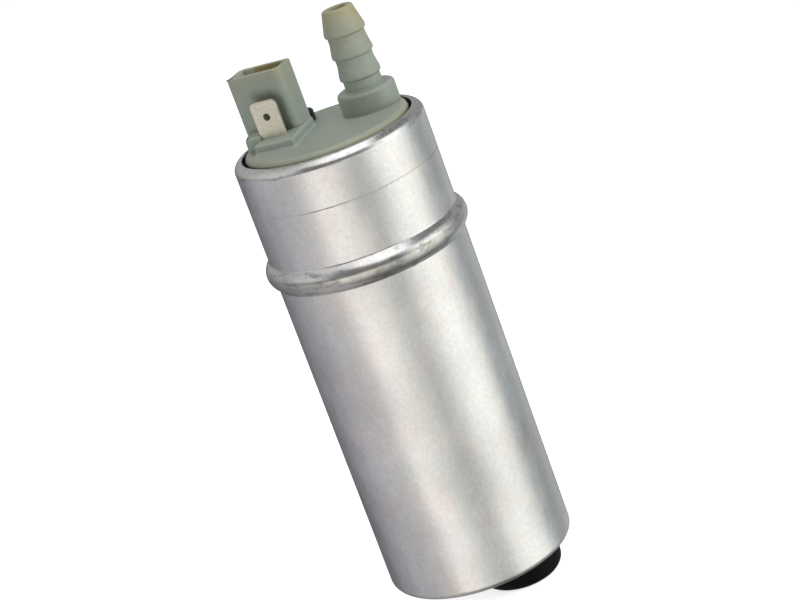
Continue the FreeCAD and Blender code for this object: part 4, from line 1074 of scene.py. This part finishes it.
def hollow_finish(name):
    """Inside of the socket: pale plastic, browner in the middle."""
    material = blank_finish(name)
    across = parts(own_place())["X"]
    middle = product(zone(across, *HOLLOW_LEFT), zone(across, *HOLLOW_RIGHT))
    base = mix(middle, PALE_HOLLOW, BROWN_HOLLOW)
    base = darken(base, object_noise(400, detail=4.0), 0.25)
    surface(Base_Color=base, Roughness=0.5, Specular_IOR_Level=0.3)
    return material


socket = add_cover_piece("connector_socket", socket_shell())
socket.data.materials.append(hollow_finish("browner hollow plastic"))

# %% [markdown]
# The blade stands on a low plinth with a small hollow curve at its foot. A bevelled cube can't have that
# curve, so the plinth is a pile of rings: each is the same rounded outline at its own height and reach.

# %% Plinth
PLINTH_LOW = (-13.048, -9.45, COVER_TOP - 1.0)
PLINTH_HIGH = (-3.048, 5.35, COVER_TOP + 2.0)
PLINTH_ROUND = 0.7
PLINTH_BACK_ROUND = 1.2
PLINTH_DRAW = 1.3
PLINTH_FOOT = 0.6
PLINTH_EDGE = 0.6
RING_STEPS = 6


def outline_ring(bm, corners, reach, height):
    """Ring of vertices that reach millimetres outside a rounded outline of (x, y, rounding)."""
    ring = []
    spots = [Vector(corner[:2]) for corner in corners]
    for number, (_, _, rounding) in enumerate(corners):
        here, after = spots[number], spots[(number + 1) % len(spots)]
        arriving = (here - spots[number - 1]).normalized()
        leaving = (after - here).normalized()
        first = Vector((arriving.y, -arriving.x))
        last = Vector((leaving.y, -leaving.x))
        centre = here - (first + last) * rounding / (1 + first.dot(last))
        for step in range(RING_STEPS + 1):
            point = centre + (rounding + reach) * first.slerp(last, step / RING_STEPS)
            ring.append(bm.verts.new(spot(*point, height)))
    return ring


def soft_block(corners, low, high, foot, edge):
    """Block with a hollow curve at its foot and a rounded upper edge. The foot starts at the cover's face."""
    quarter = [math.pi / 12 * step for step in range(7)]
    levels = [(foot, low)]
    levels += [(foot - foot * math.sin(a), COVER_TOP + foot - foot * math.cos(a)) for a in quarter]
    levels += [(edge * math.cos(a) - edge, high - edge + edge * math.sin(a)) for a in quarter]
    bm = bmesh.new()
    rings = [outline_ring(bm, corners, *level) for level in levels]
    bm.faces.new(rings[0][::-1])
    bm.faces.new(rings[-1])
    for lower, upper in zip(rings, rings[1:]):
        for n in range(len(lower)):
            bm.faces.new((lower[n - 1], lower[n], upper[n], upper[n - 1]))
    return bm


def plinth():
    """Low block that carries the blade. Its inner side draws in towards the back."""
    left, front, low = PLINTH_LOW
    right, back, high = PLINTH_HIGH
    corners = (
        (left, front, PLINTH_ROUND), (right, front, PLINTH_ROUND),
        (right - PLINTH_DRAW, back, PLINTH_BACK_ROUND), (left, back, PLINTH_ROUND),
    )
    return soft_block(corners, low, high, PLINTH_FOOT, PLINTH_EDGE)


add_cover_piece("connector_plinth", plinth())

# %% [markdown]
# Between the plinth and the cover's edge is a small block, and round the relief valve the cover is raised a
# little. Both follow the cover's round, so each starts as a disc, which planes cut to its outline, and is
# then pushed up.

# %% Side block and raised land
FLAT_R = COVER_R - COVER_EDGE
EAR_FRONT = -6.05
EAR_BACK = -0.85
EAR_RISE = 3.2
EAR_ROUND = 0.9
LAND_NEAR = COVER_R - 5.8
LAND_RISE = 0.15
LAND_ROUND = 0.14
LAND_BEARING = math.radians(133.5)


def cut_disc(low, high, cuts, rounding):
    """Disc as wide as the cover's flat top, cut by upright planes and pushed up. A cut is a point on the
    plane and the way that is thrown away."""
    bm = bmesh.new()
    place = Matrix.Translation((0, 0, low * MM))
    bmesh.ops.create_circle(bm, cap_ends=True, segments=192, radius=FLAT_R * MM, matrix=place)
    for point, away in cuts:
        bmesh.ops.bisect_plane(
            bm, geom=bm.verts[:] + bm.edges[:] + bm.faces[:], clear_outer=True,
            plane_co=spot(*point), plane_no=(*away, 0),
        )
    push_faces(bm, bm.faces[:], (0, 0, high - low))
    bmesh.ops.recalc_face_normals(bm, faces=bm.faces)
    round_edges(bm, level_edges(bm, high), rounding, 4)
    return bm


def side_block():
    """Block between the plinth and the cover's edge."""
    inner = PLINTH_LOW[0] + PLINTH_ROUND
    cuts = (((inner, 0), (1, 0)), ((0, EAR_FRONT), (0, -1)), ((0, EAR_BACK), (0, 1)))
    return cut_disc(COVER_TOP - 1.0, COVER_TOP + EAR_RISE, cuts, EAR_ROUND)


def raised_land():
    """Shallow step round the relief valve."""
    way = (math.cos(LAND_BEARING), math.sin(LAND_BEARING))
    cuts = (((LAND_NEAR * way[0], LAND_NEAR * way[1]), (-way[0], -way[1])),)
    return cut_disc(COVER_TOP - SINK, COVER_TOP + LAND_RISE, cuts, LAND_ROUND)


add_cover_piece("cover_side_block", side_block())
add_cover_piece("raised_land", raised_land())

# %% [markdown]
# ## Inside the cover
# Under the plate hang a tube for the relief valve and two square guides for the brushes. A guide starts as
# four edges in plan, with two more points where the lead comes out. Its walls are those edges pushed up,
# first all round, then all but the gap, and Solidify gives them their thickness.

# %% Relief tube and brush guides
RELIEF_TUBE_R = 3.05
RELIEF_TUBE_BOTTOM = PLATE_UNDER - 5.9
GUIDE_Y = 9.2
GUIDE_HALF = (3.0, 2.5)
GUIDE_WALL = 1.0
GUIDE_BOTTOM = PLATE_UNDER - 14.5
GUIDE_SLOT_HALF = 0.8
GUIDE_SLOT_BOTTOM = PLATE_UNDER - 9.8


def relief_tube():
    """Tube round the relief valve."""
    corners = [
        (RELIEF_BORE_R, RELIEF_TUBE_BOTTOM, 0.15),
        (RELIEF_TUBE_R, RELIEF_TUBE_BOTTOM, 0.2),
        (RELIEF_TUBE_R, PLATE_UNDER + SINK, 0.0),
        (RELIEF_BORE_R, PLATE_UNDER + SINK, 0.0),
    ]
    return turn_section(section(corners, 3), RELIEF, 64)


def push_up(bm, edges, height):
    """Extrudes edges to a height and returns the new ones."""
    made = bmesh.ops.extrude_edge_only(bm, edges=edges)
    for vert in made["geom"]:
        if isinstance(vert, bmesh.types.BMVert):
            vert.co.z = height * MM
    return [e for e in made["geom"] if isinstance(e, bmesh.types.BMEdge) and edge_at(e, height)]


def brush_guide(side):
    """Square guide with a slot in the wall towards the terminals."""
    half_x, half_y = GUIDE_HALF
    middle = side * GUIDE_Y
    outline = [
        (half_x, middle - half_y), (half_x, middle + half_y), (-half_x, middle + half_y),
        (-half_x, middle + GUIDE_SLOT_HALF), (-half_x, middle - GUIDE_SLOT_HALF), (-half_x, middle - half_y),
    ]
    bm = bmesh.new()
    verts = [bm.verts.new(spot(x, y, GUIDE_BOTTOM)) for x, y in outline]
    ring = [bm.edges.new(pair) for pair in zip(verts, verts[1:] + verts[:1])]
    upper = push_up(bm, ring, GUIDE_SLOT_BOTTOM)
    half_gap = (GUIDE_SLOT_HALF + 0.01) * MM
    gap = [e for e in upper if all(abs(v.co.y - middle * MM) < half_gap for v in e.verts)]
    push_up(bm, [e for e in upper if e not in gap], PLATE_UNDER + SINK)
    bmesh.ops.recalc_face_normals(bm, faces=bm.faces)
    return bm


add_cover_piece("relief_tube", relief_tube())
for name, side in (("brush_guide_front", -1), ("brush_guide_rear", 1)):
    guide = add_cover_piece(name, brush_guide(side))
    wall = guide.modifiers.new("wall", "SOLIDIFY")
    wall.thickness = GUIDE_WALL * MM
    wall.offset = 1.0
    wall.use_even_offset = True
    guide.modifiers.move(1, 0)

# %% [markdown]
# ## Blade terminal
# The blade is a standard flat terminal of tinned steel. Its outline has two rounded upper corners and a
# detent hole, so it is filled between the outline and a circle and given its thickness, and its edges are
# broken.

# %% Blade terminal
BLADE_LEFT, BLADE_RIGHT = -12.598, -6.298
BLADE_FRONT = -5.35
BLADE_THICK = 0.8
BLADE_BOTTOM = PLATE_UNDER - 4.4
BLADE_TOP = PLINTH_HIGH[2] + 8.2
BLADE_CORNER = 1.2
BLADE_HOLE_R = 0.8
BLADE_HOLE_DROP = 3.6
BLADE_EDGE = 0.1


def blade():
    """Flat blade with rounded corners and a hole."""
    bm = section([
        (BLADE_LEFT, BLADE_BOTTOM, 0.0),
        (BLADE_RIGHT, BLADE_BOTTOM, 0.0),
        (BLADE_RIGHT, BLADE_TOP, BLADE_CORNER),
        (BLADE_LEFT, BLADE_TOP, BLADE_CORNER),
    ], segments=10)
    hole = spot((BLADE_LEFT + BLADE_RIGHT) / 2, 0, BLADE_TOP - BLADE_HOLE_DROP)
    place = Matrix.Translation(hole) @ Matrix.Rotation(math.pi / 2, 4, "X")
    bmesh.ops.create_circle(bm, cap_ends=False, segments=40, radius=BLADE_HOLE_R * MM, matrix=place)
    bmesh.ops.triangle_fill(bm, use_beauty=True, use_dissolve=True, edges=bm.edges[:], normal=(0, -1, 0))
    bmesh.ops.translate(bm, verts=bm.verts, vec=(0, BLADE_FRONT * MM, 0))
    push_faces(bm, bm.faces[:], (0, BLADE_THICK, 0))
    bmesh.ops.recalc_face_normals(bm, faces=bm.faces)
    crisp = [e for e in bm.edges if e.calc_face_angle(0.0) > 1.0]
    round_edges(bm, [e for e in crisp if abs(e.verts[0].co.y - e.verts[1].co.y) < SAME], BLADE_EDGE, 2)
    return bm


TIN = linear(254, 250, 230)
tin = metal_finish("tinned steel", TIN, 0.42, vary=0.1, grain=1300, depth=0.008, tint=0.85, fleck=0.22)
add_piece("blade", blade(), tin, "blade_terminal")

# %% [markdown]
# ## Cap, seal and sleeve
# The valve's cap, the cover's seal and the rubber sleeve on the inlet are turned, so one table holds their
# sections. The cap is satin plastic, and the rubber is duller and darker.

# %% Cap, seal and sleeve
CAP_R = 2.2
CAP_FOOT = COVER_TOP + LAND_RISE
CAP_TOP = COVER_TOP + 2.75
CAP_HOLE_R = 0.7
CAP_PLUG_R = 1.8
CAP_PLUG_BOTTOM = COVER_TOP - 2.6
SEAL_INNER_R = COVER_R + 0.05
SEAL_OUTER_R = CAN_R - WALL - 0.05
SEAL_TOP = FLANGE_TOP + 1.95
INLET = (8.3, 0.0)
SLEEVE_INNER_R = 6.35
SLEEVE_R = 9.7
SLEEVE_TOP = 7.55
SLEEVE_ROUND = 3.1
TURNED = (
    # name, corners, centre, slot, CAD node
    ("valve_cap", [
        (CAP_HOLE_R, CAP_PLUG_BOTTOM, 0.0),
        (CAP_PLUG_R, CAP_PLUG_BOTTOM, 0.15),
        (CAP_PLUG_R, CAP_FOOT, 0.0),
        (CAP_R, CAP_FOOT, 0.08),
        (CAP_R, CAP_TOP, 0.7),
        (CAP_HOLE_R, CAP_TOP, 0.15),
    ], RELIEF, "black_plastic", "relief_valve_cap"),
    ("seal_ring", [
        (SEAL_INNER_R, FLANGE_TOP, 0.4),
        (SEAL_OUTER_R, FLANGE_TOP, 0.4),
        (SEAL_OUTER_R, SEAL_TOP, 0.9),
        (SEAL_INNER_R, SEAL_TOP, 0.9),
    ], (0.0, 0.0), "black_rubber", "cover_seal"),
    ("sleeve", [
        (SLEEVE_INNER_R, 0.0, 0.2),
        (SLEEVE_R, 0.0, SLEEVE_ROUND),
        (SLEEVE_R, SLEEVE_TOP, 0.25),
        (SLEEVE_INNER_R, SLEEVE_TOP, 0.15),
    ], INLET, "black_rubber", "inlet_sleeve"),
)

rubber = moulded_finish("black rubber", linear(10, 10, 11), 0.5, vary=0.1, grain=1000, tint=0.7, gloss=0.1)
black = moulded_finish("black plastic", linear(30, 31, 30), 0.4, vary=0.08, tint=0.75, gloss=0.4)
for name, corners, centre, slot, cad_node in TURNED:
    bm = turn_section(section(corners, 8), centre)
    add_piece(name, bm, rubber if slot == "black_rubber" else black, cad_node)

# %% [markdown]
# ## Finishes with a pattern
# Some pieces inside have a pattern of their own. A stack of laminations is fine level lines, and a winding
# is the same lines bent by noise. Ground ferrite and carbon are dull with glinting specks, and sintered
# metal is mottled. Wave and Voronoi textures give both.

# %% Lines and specks
def lined_finish(name, colour, roughness, pitch, bend=0.0, depth=0.05, dark=0.5):
    """Level lines of a pitch in millimetres, as on laminations or wire."""
    material = blank_finish(name)
    scale = math.tau / (20 * pitch * MM)
    settings = {"Vector": own_place(), "Scale": scale, "Distortion": bend, "Detail": 1.0, "Detail Scale": 0.3}
    lines = node("TexWave", settings, bands_direction="Z").outputs["Fac"]
    base = mix(spread(lines, 0.0, 1.0, 0.05, 0.5), shade(colour, dark), shade(colour, 1.0))
    rough = around(object_noise(200), roughness, 0.08)
    surface(Base_Color=base, Metallic=1.0, Roughness=rough, Normal=add_bump(lines, depth))
    return material


def speckled_finish(name, colour, roughness, speck, metal=0.0):
    """Dull pressed powder with small brighter specks."""
    material = blank_finish(name)
    specks = node("TexVoronoi", {"Vector": own_place(), "Scale": 2500}).outputs["Distance"]
    cloud = object_noise(250, detail=4.0)
    base = mix(spread(specks, 0.0, 1.0, 0.22, 0.1), clouded(cloud, colour, 0.8), shade(speck, 1.0))
    rough = around(cloud, roughness, 0.08)
    surface(Base_Color=base, Metallic=metal, Roughness=rough, Normal=add_bump(specks, 0.01))
    return material


print("finishes so far:", len(bpy.data.materials))

# %% [markdown]
# ## Finishes of the CAD pieces
# The other pieces keep their CAD shape. Each slot of the record gets one finish, and a piece that differs
# from its slot gets one by its name.

# %% Finishes by slot
FINISHES = {
    "socket_contact_metal": metal_finish("contact metal", linear(176, 152, 112), 0.42, vary=0.1, tint=0.7),
    "valve_plastic": moulded_finish("valve plastic", (0.86, 0.85, 0.78), 0.45, tint=0.94),
    "valve_rubber": moulded_finish("valve rubber", (0.05, 0.05, 0.05), 0.6, tint=0.7),
    "valve_brass": metal_finish("valve brass", (0.72, 0.55, 0.27), 0.28, grain=600, stretch=(1, 1, 12)),
    "spring_steel": metal_finish("spring wire", (0.6, 0.61, 0.62), 0.25, grain=3000),
    "ball_steel": metal_finish("ball steel", (0.75, 0.76, 0.77), 0.08, vary=0.03, depth=0.001),
    "carbon": speckled_finish("brush carbon", (0.06, 0.06, 0.065), 0.5, (0.3, 0.2, 0.14)),
    "lead_copper": lined_finish("braided copper", (0.72, 0.4, 0.24), 0.35, 0.25, bend=1.5, depth=0.06),
    "coil_copper": metal_finish("enamelled copper", (0.62, 0.24, 0.1), 0.22, grain=800, tint=0.75),
    "core_ferrite": speckled_finish("choke ferrite", (0.05, 0.05, 0.055), 0.55, (0.14, 0.14, 0.15)),
    "flux_steel": metal_finish("zinc plated steel", (0.6, 0.61, 0.6), 0.34, vary=0.1, tint=0.82),
    "magnet_ferrite": speckled_finish("magnet ferrite", (0.075, 0.075, 0.08), 0.48, (0.2, 0.2, 0.21)),
    "clip_steel": metal_finish("blued clip", (0.32, 0.35, 0.42), 0.3, vary=0.08, stretch=(1, 1, 0.1)),
    "shaft_steel": metal_finish("ground steel", (0.7, 0.71, 0.72), 0.18, grain=900, stretch=(1, 1, 14)),
    "lamination_steel": lined_finish("laminations", (0.5, 0.5, 0.5), 0.38, 0.5, depth=0.04),
    "insulator_plastic": moulded_finish("insulator", (0.03, 0.17, 0.14), 0.4),
    "commutator_plastic": moulded_finish("phenolic", (0.12, 0.045, 0.02), 0.42, tint=0.7),
    "commutator_copper": metal_finish("machined copper", (0.78, 0.42, 0.26), 0.22, grain=1200, tint=0.8),
    "bearing_bronze": speckled_finish(
        "sintered bronze", (0.45, 0.28, 0.12), 0.42, (0.2, 0.12, 0.06), metal=1.0,
    ),
    "casing_aluminium": metal_finish(
        "die cast aluminium", (0.66, 0.67, 0.68), 0.42, vary=0.1, grain=1500, depth=0.01,
    ),
    "rotor_steel": speckled_finish("sintered steel", (0.38, 0.38, 0.39), 0.36, (0.2, 0.2, 0.2), metal=1.0),
    "coupling_plastic": moulded_finish("coupling plastic", (0.8, 0.77, 0.68), 0.4, tint=0.93),
    "black_rubber": rubber,
    "black_plastic": black,
    "tinned_steel": tin,
    "cover_plastic": plastic,
    "can_aluminium": aluminium,
}
BY_NODE = {
    "armature_windings": lined_finish(
        "wound copper", (0.6, 0.22, 0.09), 0.26, 0.42, bend=4.0, depth=0.12, dark=0.3,
    ),
}

node_slots = {entry["node"]: entry["material_slot"] for entry in frame["record"]["subparts"]}
for name, piece in cad_nodes.items():
    finish = BY_NODE.get(name, FINISHES[node_slots[name]])
    for place in piece.material_slots:
        place.material = finish
print("CAD nodes with a finish:", len(cad_nodes), "finishes:", len(bpy.data.materials))

# %% [markdown]
# ## Springs and leads
# A spring has one end in the cover and the other on a valve or a brush, so it gets shorter when that moves,
# and a brush's lead gets longer. A piece that rides on one body can't do that. Here each is a merged copy of
# its CAD node that rides on no body.

# %% Springs and leads
FLEXIBLE = (
    # name, CAD node, body at the moving end, whether that is the upper end
    ("check_valve_coil", "check_valve_spring", "check_valve", False),
    ("relief_valve_coil", "relief_valve_spring", "relief_ball", False),
    ("front_brush_coil", "brush_spring_a", "front_brush", False),
    ("rear_brush_coil", "brush_spring_b", "rear_brush", False),
    ("front_brush_lead", "brush_lead_a", "front_brush", True),
    ("rear_brush_lead", "brush_lead_b", "rear_brush", True),
)


def flexible_piece(name, cad_node, body, upwards):
    """Merged copy of a CAD node, on no body, with its place baked in."""
    bm = bmesh.new()
    bm.from_mesh(cad_nodes[cad_node].data)
    bmesh.ops.remove_doubles(bm, verts=bm.verts, dist=SAME)
    slot = node_slots[cad_node]
    piece = add_piece(name, bm, FINISHES[slot], cad_node, body=None)
    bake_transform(piece)


for settings in FLEXIBLE:
    flexible_piece(*settings)
